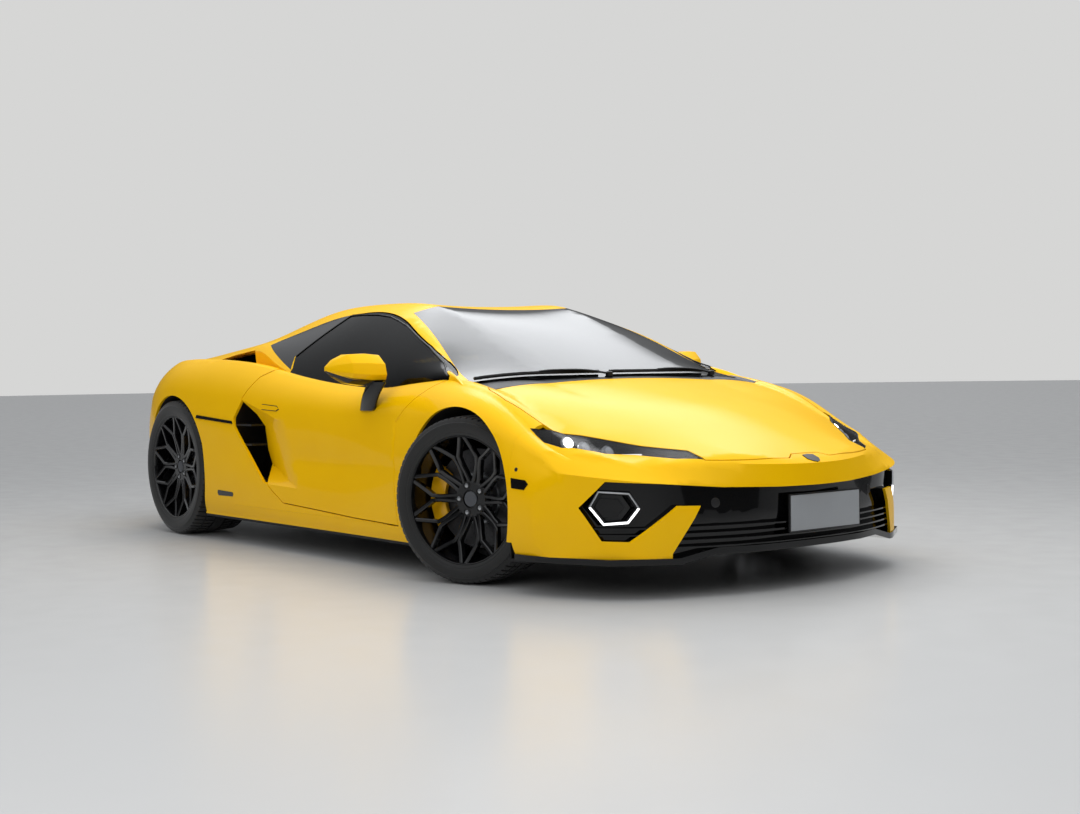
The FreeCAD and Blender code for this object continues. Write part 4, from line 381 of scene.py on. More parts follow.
@dataclass
class Studio:
    """Floor, lamps and camera; the camera stands where the photograph was taken."""

    image_width: float = 1080.0
    focal_pixels: float = 1514.96
    sensor_mm: float = 36.0
    eye: tuple[float, float, float] = (6.3299, -4.4699, 0.8770)
    yaw: float = 2.480351
    pitch: float = -0.026340
    roll: float = -0.014983
    sight: float = 200.0
    floor_radius: float = 60.0
    floor_steps: int = 180
    room_colour: str = "EDEFF2"
    dim_below: float = 0.10
    bright_above: float = 0.80
    horizon: float = 0.10
    zenith: float = 1.15
    pool: tuple[float, float, float] = (-0.57, 0.53, 0.63)
    pool_edge: float = 0.950
    pool_core: float = 0.992
    pool_strength: float = 3.2
    backdrop_colour: str = "D6D6D5"
    soft_boxes: Sequence[SoftBox] = (
        SoftBox("ceiling", (1.1, 0.0, 4.2), (1.1, 0.0, 0.0), 6.0, 3.4, 125.0),
        SoftBox("side", (3.0, -6.0, 2.6), (0.5, 0.0, 0.5), 4.5, 2.2, 48.0))

    def camera(self) -> None:
        """Set the photograph's camera."""
        ahead = Vector((math.cos(self.yaw) * math.cos(self.pitch),
                        math.sin(self.yaw) * math.cos(self.pitch), math.sin(self.pitch)))
        right = Vector((math.sin(self.yaw), -math.cos(self.yaw), 0.0))
        up = right.cross(ahead)
        level, lean = math.cos(self.roll), math.sin(self.roll)
        right, up = right * level + up * lean, up * level - right * lean
        data = bpy.data.cameras.new("photo_camera")
        data.sensor_width = self.sensor_mm
        data.lens = self.focal_pixels / self.image_width * self.sensor_mm
        data.clip_end = self.sight
        camera = bpy.data.objects.new("photo_camera", data)
        camera.matrix_world = Matrix((right, up, -ahead)).transposed().to_4x4()
        camera.location = self.eye
        bpy.context.scene.collection.objects.link(camera)
        bpy.context.scene.camera = camera

    def floor(self) -> None:
        """Lay a round, pale, polished floor, so that its edge is level from every side."""
        shape = bmesh.new()
        bmesh.ops.create_circle(shape, cap_ends=True, segments=self.floor_steps,
                                radius=self.floor_radius)
        mesh = bpy.data.meshes.new("floor")
        shape.to_mesh(mesh)
        shape.free()
        mesh.materials.append(FLOOR_RESIN.build())
        floor = bpy.data.objects.new("floor", mesh)
        bpy.context.scene.collection.objects.link(floor)

    def room(self) -> None:
        """Put a bright ceiling with a soft pool of light in it round the car."""
        world = bpy.data.worlds.new("room")
        world.use_nodes = True
        tree = world.node_tree
        tree.nodes.clear()
        seen = add_node(tree, "LightPath")
        spot = add_node(tree, "TexCoord")
        parts = add_node(tree, "SeparateXYZ", links={0: spot.outputs["Generated"]})
        rise = add_node(tree, "MapRange", {
            "interpolation_type": "SMOOTHSTEP", "From Min": self.dim_below,
            "From Max": self.bright_above, "To Min": self.horizon, "To Max": self.zenith},
            {"Value": parts.outputs["Z"]})
        aim = add_node(tree, "VectorMath", {"operation": "DOT_PRODUCT", 1: self.pool},
                       {0: spot.outputs["Generated"]})
        pool = add_node(tree, "MapRange", {
            "interpolation_type": "SMOOTHSTEP", "From Min": self.pool_edge,
            "From Max": self.pool_core, "To Min": 0.0, "To Max": self.pool_strength},
            {"Value": aim.outputs["Value"]})
        total = add_node(tree, "Math", {"operation": "ADD"},
                         {0: rise.outputs[0], 1: pool.outputs[0]})
        room = add_node(tree, "Background", {"Color": linear(self.room_colour)},
                        {"Strength": total.outputs[0]})
        back = add_node(tree, "Background", {"Color": linear(self.backdrop_colour), "Strength": 1.0})
        mixed = add_node(tree, "MixShader", links={
            0: seen.outputs["Is Camera Ray"], 1: room.outputs[0], 2: back.outputs[0]})
        add_node(tree, "OutputWorld", links={"Surface": mixed.outputs[0]})
        bpy.context.scene.world = world

    def build(self) -> None:
        """Set the camera, floor, room and lamps, and the plain view transform."""
        self.camera()
        self.floor()
        self.room()
        for soft_box in self.soft_boxes:
            soft_box.hang()
        bpy.context.scene.view_settings.view_transform = "Standard"


def placed(shape: Shape, matrix: Matrix) -> Shape:
    """Move a bmesh, and turn its faces back out if the move mirrors it.

    Args:
        shape: The bmesh.
        matrix: Where it goes.

    Returns:
        The same bmesh.
    """
    shape.transform(matrix)
    if matrix.determinant() < 0:
        bmesh.ops.reverse_faces(shape, faces=shape.faces)
    return shape


def about_axle(share: float, radius: float = 0.0) -> Matrix:
    """Place on a circle about the Y axis.

    Args:
        share: Share of a full turn, from X towards minus Z.
        radius: Distance from the axis.

    Returns:
        The matrix that moves a shape there.
    """
    return Matrix.Rotation(FULL_TURN * share, 4, "Y") @ Matrix.Translation((radius, 0, 0))


def face_out(shape: Shape) -> None:
    """Turn the faces of a closed shape outwards.

    Args:
        shape: The shape.
    """
    bmesh.ops.recalc_face_normals(shape, faces=shape.faces)
    if shape.calc_volume(signed=True) < 0:
        bmesh.ops.reverse_faces(shape, faces=shape.faces)


def spun(profile: Outline, steps: int) -> Shape:
    """Turn a profile of (y, radius) points about the Y axis.

    Args:
        profile: Points in metres. The last joins the first, unless both lie on the axis.
        steps: Segments round the axis.

    Returns:
        The turned shape, with its faces facing out.
    """
    shape = bmesh.new()
    verts = [shape.verts.new((radius, y, 0.0)) for y, radius in profile]
    on_axis = profile[0][1] == profile[-1][1] == 0.0
    pairs = zip(verts, verts[1:] + ([] if on_axis else verts[:1]))
    edges = [shape.edges.new(pair) for pair in pairs]
    bmesh.ops.spin(shape, geom=verts + edges, cent=(0, 0, 0), axis=(0, 1, 0), dvec=(0, 0, 0),
                   angle=FULL_TURN, steps=steps, use_merge=True, use_duplicate=False)
    bmesh.ops.remove_doubles(shape, verts=shape.verts, dist=1e-6)
    face_out(shape)
    return shape


def rod(low: float, high: float, radius: float, steps: int) -> Shape:
    """Round rod along the Y axis.

    Args:
        low: Where it starts.
        high: Where it ends.
        radius: Its radius.
        steps: Segments round the axis.

    Returns:
        The rod.
    """
    return spun([(low, 0.0), (low, radius), (high, radius), (high, 0.0)], steps)


def only_verts(geometry: Iterable[object]) -> list[bmesh.types.BMVert]:
    """The vertices among what an operator gives back."""
    return [item for item in geometry if isinstance(item, bmesh.types.BMVert)]


def slab(points: Sequence[Vector], push: Vector) -> Shape:
    """Closed slab between an outline and its copy.

    Args:
        points: The outline, flat or slightly curved.
        push: From the outline to its copy.

    Returns:
        The slab, with its faces facing out.
    """
    shape = bmesh.new()
    base = shape.faces.new([shape.verts.new(point) for point in points])
    grown = bmesh.ops.extrude_face_region(shape, geom=[base], use_keep_orig=True)
    bmesh.ops.translate(shape, vec=push, verts=only_verts(grown["geom"]))
    face_out(shape)
    return shape


def rounded(shape: Shape, width: float, segments: int = 2, sharper: float = 30.0) -> Shape:
    """Round a shape's sharp edges.

    Args:
        shape: The shape.
        width: Width of the rounding.
        segments: Segments of the rounding.
        sharper: Only edges that are sharper than this many degrees are rounded.

    Returns:
        The same shape.
    """
    edges = [edge for edge in shape.edges
             if edge.is_manifold and edge.calc_face_angle(0.0) > math.radians(sharper)]
    bmesh.ops.bevel(shape, geom=edges, offset=width, offset_type="OFFSET", segments=segments,
                    profile=0.5, affect="EDGES", clamp_overlap=True, material=-1)
    return shape


def extruded(outline: Outline, low: float, high: float, bevel: float = 0.0,
             segments: int = 2) -> Shape:
    """Prism along Y over an outline.

    Args:
        outline: Points of x and z in metres.
        low: Where it starts.
        high: Where it ends.
        bevel: Width of the rounding on every edge.
        segments: Segments of the rounding.

    Returns:
        The prism.
    """
    shape = slab([Vector((x, low, z)) for x, z in outline], Vector((0, high - low, 0)))
    return rounded(shape, bevel, segments) if bevel else shape


def lofted(rings: Sequence[Sequence[Vector]], closed: bool = False) -> Shape:
    """Skin through rings of equally many points.

    Args:
        rings: The rings in order.
        closed: Whether the last ring joins the first, and otherwise both ends are capped.

    Returns:
        The closed body.
    """
    shape = bmesh.new()
    loops = []
    for ring in rings:
        verts = [shape.verts.new(point) for point in ring]
        loops.append([shape.edges.new(pair) for pair in zip(verts, verts[1:] + verts[:1])])
    for first, second in zip(loops, loops[1:] + (loops[:1] if closed else [])):
        bmesh.ops.bridge_loops(shape, edges=first + second)
    if not closed:
        for loop in (loops[0], loops[-1]):
            bmesh.ops.edgeloop_fill(shape, edges=loop)
    face_out(shape)
    return shape


def joined(shapes: Iterable[Shape]) -> Shape:
    """Put several bmeshes into one.

    Args:
        shapes: The bmeshes, which are freed.

    Returns:
        The new bmesh.
    """
    whole = bmesh.new()
    for shape in shapes:
        mesh = bpy.data.meshes.new("part")
        shape.to_mesh(mesh)
        shape.free()
        whole.from_mesh(mesh)
        bpy.data.meshes.remove(mesh)
    return whole


def both_sides(maker: Callable[[int], Shape]) -> Shape:
    """The left and the right copy of what a maker gives for a sign."""
    return joined([maker(1), maker(-1)])


def arc(radius: float, start: float, end: float, count: int) -> list[tuple[float, float]]:
    """Points of an arc about the origin.

    Args:
        radius: Its radius.
        start: Angle of the first point in degrees.
        end: Angle of the last point.
        count: How many points there are.

    Returns:
        The points.
    """
    angles = [math.radians(start + (end - start) * i / (count - 1)) for i in range(count)]
    return [(radius * math.cos(angle), radius * math.sin(angle)) for angle in angles]


def oblong(left: float, right: float, low: float, high: float) -> list[tuple[float, float]]:
    """Corners of a rectangle."""
    return [(left, low), (right, low), (right, high), (left, high)]


@dataclass
class Corner:
    """One wheel with its tyre, disc and caliper, built about the Y axis and then placed.

    Each y runs outwards from the wheel's middle plane.
    """

    name: str
    body: str
    carrier: str
    centre: tuple[float, float, float]
    turn: float
    tyre_radius: float
    tyre_width: float
    rim_radius: float
    hub_face: float
    lip_face: float
    disc_inset: float
    disc_radius: float
    caliper_angle: float
    # Tyre; grooves and the plain middle are shares of the tread's half width
    bead_inset: float = 0.012
    bead_gap: float = 0.0004
    shoulder: float = 0.016
    crown_drop: float = 0.006
    pitches: int = 70
    grooves: Sequence[float] = (0.62, 0.22, -0.22, -0.62)
    groove_half: float = 0.0045
    groove_slope: float = 0.001
    groove_depth: float = 0.0065
    # Shares of one pitch: start and end of the block, then of the notch's bottom
    block_steps: Sequence[float] = (0.0, 0.74, 0.77, 0.97)
    notch_from: int = 2
    notch_depth: float = 0.005
    slant: float = 0.55
    plain_middle: float = 0.25
    # Rim, with twin ribs that run side by side up to the fork
    rim_wall: float = 0.009
    rim_well: float = 0.017
    rim_lip: float = 0.006
    spokes: int = 10
    rib_half: float = 0.0085
    rib_depth: float = 0.0272
    rib_chamfer: float = 0.45
    rib_cuts: int = 4
    twin_gap: float = 0.013
    fork_share: float = 0.50
    fork_spread: float = 0.86
    hollow: float = 0.6
    # Hub and bolts
    hub_radius: float = 0.078
    hub_bore: float = 0.033
    hub_depth: float = 0.034
    bolts: int = 5
    bolt_circle: float = 0.74
    bolt_half: float = 0.0095
    bolt_well: float = 0.0165
    # Disc, whose drilled rows each have a shift round the axle and a radius
    disc_thickness: float = 0.034
    disc_face: float = 0.012
    disc_bore: float = 0.105
    vanes: int = 48
    vane_half: float = 0.0025
    bell_bore: float = 0.032
    drill_steps: int = 30
    drill_radius: float = 0.0026
    drill_rows: Sequence[tuple[float, float]] = ((0.0, 0.128), (0.33, 0.149), (0.66, 0.17),
                                                 (0.2, 0.188))
    # Caliper
    caliper_half_angle: float = 39.0
    caliper_clearance: float = 0.005
    caliper_thickness: float = 0.022
    caliper_over: float = 0.026
    caliper_under: float = 0.052
    bridge_thickness: float = 0.018
    bridge_depth: float = 0.020
    boss_radius: float = 0.016
    pin_radius: float = 0.004
    boss_angles: Sequence[float] = (-25, -9, 9, 25)
    pin_angles: Sequence[float] = (-17, 0, 17)

    @property
    def matrix(self) -> Matrix:
        """Where the corner stands, mirrored on the right.

        Returns:
            The matrix from the axle's axes to the car's.
        """
        side = Matrix.Scale(-1 if self.centre[1] < 0 else 1, 4, (0, 1, 0))
        turned = Matrix.Rotation(math.radians(self.turn), 4, "Z")
        return Matrix.Translation(self.centre) @ turned @ side

    @property
    def tread_half(self) -> float:
        """Half the width of the tread."""
        return self.tyre_width / 2 - self.shoulder

    @property
    def bead(self) -> float:
        """Radius of the tyre's bead."""
        return self.rim_radius + self.bead_gap

    @property
    def waist(self) -> float:
        """Radius at which the sidewall is widest."""
        return (self.rim_radius + self.tyre_radius) / 2

    def _add(self, part: str, shape: Shape, finish: Finish, body: str, replaces: bool = False,
             angle: float = 35.0) -> None:
        """Place a shape at this corner as a named piece.

        Args:
            part: The piece's name without the corner's.
            shape: The shape about the Y axis.
            finish: Its finish.
            body: Body that carries it.
            replaces: Whether it stands for the node of the same name.
            angle: Edges sharper than this many degrees stay sharp.
        """
        name = f"{part}_{self.name}"
        make_piece(name, placed(shape, self.matrix), finish, body, [name] if replaces else (), angle)

    def _sidewall(self) -> list[tuple[float, float]]:
        """Outer sidewall from the bead to the shoulder, with two raised rings.

        Returns:
            Points of y and radius.
        """
        half, bead, waist, tread = self.tyre_width / 2, self.bead, self.waist, self.tyre_radius
        return [(half - self.bead_inset, bead), (half - 0.008, bead + 0.006),
                (half - 0.0055, bead + 0.012), (half - 0.0062, bead + 0.014),
                (half - 0.002, waist - 0.018), (half, waist), (half - 0.0006, waist + 0.012),
                (half - 0.0026, waist + 0.014), (half - 0.006, tread - 0.026),
                (half - 0.011, tread - 0.013)]

    def _tread(self) -> list[tuple[float, float, bool]]:
        """Rows of the crowned tread from its outer to its inner edge.

        Returns:
            The y and radius of each row, and whether it lies on the blocks.
        """
        edges = [(self.tread_half, 0.0)]
        for centre in self.grooves:
            middle, half = centre * self.tread_half, self.groove_half
            edges += [(middle + half, 0.0), (middle + half - self.groove_slope, self.groove_depth),
                      (middle - half + self.groove_slope, self.groove_depth), (middle - half, 0.0)]
        edges.append((-self.tread_half, 0.0))
        return [(y, self.tyre_radius - self.crown_drop * (y / self.tread_half) ** 2 - depth,
                 depth == 0.0) for y, depth in edges]

    def _cut_blocks(self, shape: Shape, rows: dict[tuple[float, float], bool]) -> None:
        """Slant the tread's pitches and sink the notches between its blocks.

        Args:
            shape: The turned tyre.
            rows: The rounded y and radius of each outer row, and whether it lies on the blocks.
        """
        steps = len(self.block_steps)
        for vert in shape.verts:
            y, radius = vert.co.y, math.hypot(vert.co.x, vert.co.z)
            on_block = rows.get((round(y, 5), round(radius, 5)))
            if on_block is None:
                continue
            turned = math.atan2(vert.co.z, vert.co.x) / FULL_TURN
            pitch, step = divmod(round(turned * self.pitches * steps), steps)
            slant = self.slant * min(abs(y) / self.tread_half, 1.0)
            angle = FULL_TURN * (pitch + self.block_steps[step] + slant) / self.pitches
            if (on_block and step >= self.notch_from
                    and abs(y) > self.plain_middle * self.tread_half):
                radius -= self.notch_depth
            vert.co = Vector((radius * math.cos(angle), y, radius * math.sin(angle)))

    def tyre(self) -> None:
        """Tyre with grooved tread blocks, rounded shoulders and ringed sidewalls."""
        side, half = self._sidewall(), self.tyre_width / 2
        rows = ([(y, radius, False) for y, radius in side] + self._tread()
                + [(-y, radius, False) for y, radius in reversed(side)])
        inner = [(half - 0.020, self.bead + 0.010), (half - 0.012, self.waist),
                 (half - 0.03, self.tyre_radius - 0.018)]
        lining = [(-y, radius) for y, radius in inner] + inner[::-1]
        shape = spun([(y, radius) for y, radius, _ in rows] + lining,
                     self.pitches * len(self.block_steps))
        self._cut_blocks(shape, {(round(y, 5), round(radius, 5)): on_block
                                 for y, radius, on_block in rows})
        face_out(shape)
        self._add("tyre", shape, TYRE_RUBBER, self.body, True, 28.0)

    def _dish(self, radius: float) -> float:
        """Height of the ribs' outer face.

        Args:
            radius: Distance from the wheel's axis.

        Returns:
            The y of the face there.
        """
        edge = self.rim_radius - self.rim_lip
        share = min(max((radius - self.hub_radius) / (edge - self.hub_radius), 0.0), 1.0)
        hollowed = share - self.hollow * share * (1 - share)
        return self.hub_face + (self.lip_face - self.hub_face) * hollowed

    def _rib(self, path: Outline) -> Shape:
        """Chamfered rib that follows the dish.

        Args:
            path: Points of (radius, across).

        Returns:
            The rib.
        """
        shares = [number / self.rib_cuts for number in range(self.rib_cuts)]
        fine: list[tuple[float, float]] = []
        for (r0, a0), (r1, a1) in zip(path, path[1:]):
            fine += [(r0 + (r1 - r0) * share, a0 + (a1 - a0) * share) for share in shares]
        fine.append(path[-1])
        half, chamfer = self.rib_half, self.rib_half * self.rib_chamfer
        sections = []
        for number, (along, across) in enumerate(fine):
            before, after = fine[max(number - 1, 0)], fine[min(number + 1, len(fine) - 1)]
            heading = Vector((after[0] - before[0], after[1] - before[1])).normalized()
            top = self._dish(math.hypot(along, across))
            low = top - self.rib_depth
            corners = [(-half, low), (-half, top - chamfer), (-half + chamfer, top),
                       (half - chamfer, top), (half, top - chamfer), (half, low)]
            sections.append([Vector((along - heading.y * off, y, across + heading.x * off))
                             for off, y in corners])
        return lofted(sections)

    def _ribs(self) -> list[Shape]:
        """Twin ribs that run side by side from the hub and fork towards the rim.

        Returns:
            The ribs.
        """
        edge = self.rim_radius - self.rim_lip
        fork = self.hub_radius + (edge - self.hub_radius) * self.fork_share
        spread = edge * math.sin(math.radians(180 / self.spokes)) * self.fork_spread
        reach = math.sqrt(edge ** 2 - spread ** 2)
        path = [(self.hub_radius - 0.012, self.twin_gap), (fork - 0.02, self.twin_gap * 0.55),
                (fork + 0.012, 0.010), (reach, spread)]
        return [placed(self._rib([(along, side * across) for along, across in path]),
                       about_axle(number / self.spokes))
                for number in range(self.spokes) for side in (1, -1)]

    def rim(self) -> None:
        """Barrel with its lips, hub, cap and twin ribs."""
        outer, half = self.rim_radius, self.tyre_width / 2 - self.bead_inset
        wall, well = outer - self.rim_wall, outer - self.rim_well
        barrel = spun([(-half, outer), (-half, wall + 0.002), (-half + 0.004, wall),
                       (-half + 0.03, wall), (-half + 0.05, well), (half - 0.05, well),
                       (half - 0.022, wall), (half - 0.006, wall), (half, wall + 0.003),
                       (half, outer - 0.0015), (half - 0.0015, outer)], 144)
        face, back, edge, bore = (self.hub_face, self.hub_face - self.hub_depth, self.hub_radius,
                                  self.hub_bore)
        hub = spun([(back, bore), (face - 0.006, bore), (face - 0.006, bore + 0.003),
                    (face, bore + 0.005), (face, edge - 0.006), (face - 0.006, edge),
                    (back, edge)], 96)
        cap = spun([(face - 0.012, 0.0), (face - 0.012, bore - 0.0005),
                    (face - 0.007, bore - 0.0005), (face - 0.004, 0.026), (face - 0.004, 0.0)], 48)
        self._add("rim", joined([barrel, hub, cap] + self._ribs()), ALLOY_BLACK, self.body, True)

    def bolt_ring(self) -> None:
        """Wheel bolts in raised collars round the hub."""
        face, well = self.hub_face, self.bolt_well
        collars, heads = [], []
        for number in range(self.bolts):
            place = about_axle((number + 0.5) / self.bolts, self.hub_radius * self.bolt_circle)
            collar = spun([(face - 0.001, well - 0.0025), (face + 0.0022, well - 0.0015),
                           (face + 0.0022, well), (face - 0.001, well + 0.001)], 32)
            collars.append(placed(collar, place))
            head = extruded(arc(self.bolt_half, 0, 300, 6), face - 0.004, face + 0.0035, 0.0012)
            heads.append(placed(head, place))
        self._add("bolt_collars", joined(collars), ALLOY_BLACK, self.body)
        self._add("bolt_heads", joined(heads), ALUMINIUM, self.body)

    def disc(self) -> None:
        """Vented disc on a bell, with black dots on its outer face that paint the shade of drilled
        holes.
        """
        low, high = self.disc_inset, self.disc_inset + self.disc_thickness
        outer, inner, skin = self.disc_radius, self.disc_bore, self.disc_face
        shapes = [spun([(start, inner), (start, outer - 0.001), (start + 0.001, outer),
                        (end - 0.001, outer), (end, outer - 0.001), (end, inner)], 120)
                  for start, end in ((low, low + skin), (high - skin, high))]
        vane = oblong(inner + 0.004, outer - 0.004, -self.vane_half, self.vane_half)
        shapes += [placed(extruded(vane, low + skin, high - skin), about_axle(number / self.vanes))
                   for number in range(self.vanes)]
        self._add("brake_disc", joined(shapes), DISC_CERAMIC, self.body, True)
        back = self.hub_face - self.hub_depth
        bell = spun([(low + 0.004, self.bell_bore), (low + 0.004, inner + 0.006),
                     (high, inner + 0.006), (high, 0.098), (back, 0.090),
                     (back, self.bell_bore)], 72)
        self._add("disc_bell", bell, ALUMINIUM, self.body)
        # Black dots where the drilled holes would be: painted shade, no holes are cut
        dots = [placed(rod(high - 0.0005, high + 0.0003, self.drill_radius, 10),
                       about_axle((number + shift) / self.drill_steps, radius))
                for number in range(self.drill_steps)
                for shift, radius in self.drill_rows if radius <= outer - 0.01]
        self._add("disc_drilling_shade", joined(dots), SATIN_BLACK, self.body)

    def caliper(self) -> None:
        """Caliper with two halves, a bridge over the disc, round bosses and pad pins."""
        outer, inner = self.disc_radius + self.caliper_over, self.disc_radius - self.caliper_under
        low = self.disc_inset - self.caliper_clearance
        high = self.disc_inset + self.disc_thickness + self.caliper_clearance
        back, face = low - self.bridge_thickness, high + self.bridge_thickness
        shapes = []
        for start, end, near, far, trim, bevel in (
                (low - self.caliper_thickness, low, inner, outer - 0.004, 2, 0.003),
                (high, high + self.caliper_thickness, inner, outer - 0.004, 2, 0.003),
                (back, face, outer - self.bridge_depth, outer, 6, 0.004)):
            span = self.caliper_half_angle - trim
            outline = arc(far, -span, span, 21) + arc(near, span, -span, 21)
            shapes.append(extruded(outline, start, end, bevel, 3))
        for angle in self.boss_angles:
            boss = spun([(face, 0.0), (face, self.boss_radius),
                         (face + 0.0039, self.boss_radius - 0.003), (face + 0.0039, 0.0)], 24)
            shapes.append(placed(boss, about_axle(-angle / 360, (inner + outer) / 2 - 0.006)))
        place = about_axle(-self.caliper_angle / 360)
        self._add("caliper", placed(joined(shapes), place), CALIPER_PAINT, self.carrier, True)
        pins = [placed(rod(low - 0.016, high + 0.020, self.pin_radius, 12),
                       about_axle(-(angle + self.caliper_angle) / 360, outer - 0.028))
                for angle in self.pin_angles]
        self._add("pad_pins", joined(pins), ALUMINIUM, self.carrier)

    def build(self) -> None:
        """Build every piece of the corner."""
        self.tyre()
        self.rim()
        self.bolt_ring()
        self.disc()
        self.caliper()


def wheel_corners() -> list[Corner]:
    """Set out the four corners at their rest poses.

    Returns:
        The corners.
    """
    found = []
    for side, sign in SIDES:
        found.append(Corner(
            f"front_{side}", f"wheel_front_{side}", f"knuckle_front_{side}",
            (1.267, sign * 0.861, 0.343), turn=18.7, tyre_radius=0.343, tyre_width=0.255,
            rim_radius=0.263, hub_face=0.051, lip_face=0.112, disc_inset=-0.040,
            disc_radius=0.205, caliper_angle=180.0))
        found.append(Corner(
            f"rear_{side}", f"wheel_rear_{side}", "car", (-1.391, sign * 0.835, 0.364), turn=0.0,
            tyre_radius=0.364, tyre_width=0.325, rim_radius=0.276, hub_face=0.118,
            lip_face=0.150, disc_inset=0.020, disc_radius=0.195, caliper_angle=0.0))
    return found


class Probe:
    """Finds where straight lines meet the frame's solids."""

    def __init__(self, *nodes: str) -> None:
        """Gather the meshes of the named nodes.

        Args:
            nodes: Nodes that the lines may meet.
        """
        verts: list[Vector] = []
        faces: list[tuple[int, ...]] = []
        for node in nodes:
            mesh = frame["nodes"][node].data
            start = len(verts)
            verts += [vertex.co.copy() for vertex in mesh.vertices]
            faces += [tuple(start + i for i in face.vertices) for face in mesh.polygons]
        self.tree = BVHTree.FromPolygons(verts, faces)

    def meet(self, start: Sequence[float], heading: Sequence[float]) -> tuple[Vector, Vector]:
        """First point on a line and the surface's normal there, turned back along the line.

        Args:
            start: Where the line starts.
            heading: Where it runs to.

        Returns:
            The point and the unit normal, or the start and the reversed heading if it meets nothing.
        """
        spot, normal, _, _ = self.tree.ray_cast(Vector(start), Vector(heading).normalized())
        if spot is None:
            return Vector(start), -Vector(heading).normalized()
        return spot, -normal if normal.dot(Vector(heading)) > 0 else normal

    def front(self, y: float, z: float, lift: float = 0.0) -> Vector:
        """Point seen from ahead at a place in the front view, lifted off the surface."""
        spot, normal = self.meet((3.0, y, z), (-1, 0, 0))
        return spot + normal * lift

    def back(self, y: float, z: float, lift: float = 0.0) -> Vector:
        """Point seen from behind, lifted off the surface."""
        spot, normal = self.meet((-3.0, y, z), (1, 0, 0))
        return spot + normal * lift

    def top(self, x: float, y: float, lift: float = 0.0) -> Vector:
        """Point seen from above, lifted off the surface."""
        spot, normal = self.meet((x, y, 2.0), (0, 0, -1))
        return spot + normal * lift

    def side(self, x: float, z: float, sign: int, lift: float = 0.0) -> Vector:
        """Point seen from the left for a sign of one, from the right for minus one."""
        spot, normal = self.meet((x, sign * 2.0, z), (0, -sign, 0))
        return spot + normal * lift

    def from_side(self, sign: int) -> Finder:
        """Finder of the points that are seen from one side."""
        return lambda x, z, lift: self.side(x, z, sign, lift)


def tube(path: Sequence[Vector], radius: float, sides: int = 8, closed: bool = False,
         flat: float = 1.0) -> Shape:
    """Round or flattened bar along a path.

    Args:
        path: Points in metres.
        radius: Half the bar's width.
        sides: Sides of its section.
        closed: Whether its end joins its start.
        flat: Height of the section as a share of its width.

    Returns:
        The bar.
    """
    count = len(path)
    turns = [FULL_TURN * number / sides for number in range(sides)]
    section = [(radius * math.cos(turn), radius * flat * math.sin(turn)) for turn in turns]
    rings = []
    for number, spot in enumerate(path):
        before = path[number - 1] if number or closed else spot
        after = path[(number + 1) % count] if number + 1 < count or closed else spot
        ahead = (after - before).normalized()
        across = ahead.cross(Vector((0, 0, 1)))
        across = across.normalized() if across.length > 1e-6 else Vector((0, 1, 0))
        up = across.cross(ahead)
        rings.append([spot + across * right + up * rise for right, rise in section])
    return lofted(rings, closed)


def smooth_path(points: Sequence[Sequence[float]], fine: int = 6) -> list[Vector]:
    """Catmull-Rom curve through points.

    Args:
        points: The points.
        fine: Steps from each to the next.

    Returns:
        Points of the curve.
    """
    spots = [Vector(point) for point in points]
    padded = [spots[0] * 2 - spots[1]] + spots + [spots[-1] * 2 - spots[-2]]
    path = []
    for a, b, c, d in zip(padded, padded[1:], padded[2:], padded[3:]):
        for number in range(fine):
            t = number / fine
            path.append(0.5 * ((2 * b) + (c - a) * t + (2 * a - 5 * b + 4 * c - d) * t ** 2
                               + (3 * b - a - 3 * c + d) * t ** 3))
    path.append(spots[-1])
    return path


def straight_path(points: Outline, step: float, closed: bool = False) -> list[tuple[float, float]]:
    """Points at about a step apart along straight pieces.

    Args:
        points: The corners.
        step: The spacing.
        closed: Whether the last corner joins the first.

    Returns:
        The points.
    """
    ring = list(points) + ([points[0]] if closed else [])
    path: list[tuple[float, float]] = []
    for a, b in zip(ring, ring[1:]):
        count = max(int(math.dist(a, b) / step), 1)
        path += [tuple(p + (q - p) * i / count for p, q in zip(a, b)) for i in range(count)]
    return path if closed else path + [tuple(ring[-1])]


def draped(outline: Outline, find: Finder, step: float, lift: float, depth: float) -> Shape:
    """Thin patch that follows a surface inside an outline.

    Args:
        outline: Points in the plane of the probing.
        find: Gives the surface's point lifted by an amount at two coordinates.
        step: Grid size.
        lift: Height of the patch's outer face above the surface.
        depth: Depth of its lower rim under the outer face.

    Returns:
        The closed patch.
    """
    flat = bmesh.new()
    flat.faces.new([flat.verts.new((a, b, 0.0)) for a, b in straight_path(outline, step, True)])
    bmesh.ops.triangulate(flat, faces=flat.faces)
    for axis, normal in enumerate((Vector((1, 0, 0)), Vector((0, 1, 0)))):
        level = min(point[axis] for point in outline) + step
        while level < max(point[axis] for point in outline):
            bmesh.ops.bisect_plane(flat, geom=flat.verts[:] + flat.edges[:] + flat.faces[:],
                                   plane_co=normal * level, plane_no=normal, dist=1e-6)
            level += step
    lower = list(flat.verts)
    grown = bmesh.ops.extrude_face_region(flat, geom=flat.faces[:], use_keep_orig=True)
    for verts, level in ((only_verts(grown["geom"]), lift), (lower, lift - depth)):
        for vert in verts:
            vert.co = find(vert.co.x, vert.co.y, level)
    face_out(flat)
    return flat


def thickened(source: Shape, keep: Callable[[bmesh.types.BMFace], bool], wall: float) -> Shape:
    """Closed shell under some faces of a shape.

    Args:
        source: The shape.
        keep: Tells which of its faces make the shell's outer side.
        wall: How far the inner side lies below.

    Returns:
        The shell.
    """
    shape = source.copy()
    unwanted = [face for face in shape.faces if not keep(face)]
    bmesh.ops.delete(shape, geom=unwanted, context="FACES")
    bmesh.ops.solidify(shape, geom=shape.faces[:], thickness=wall)
    face_out(shape)
    return shape


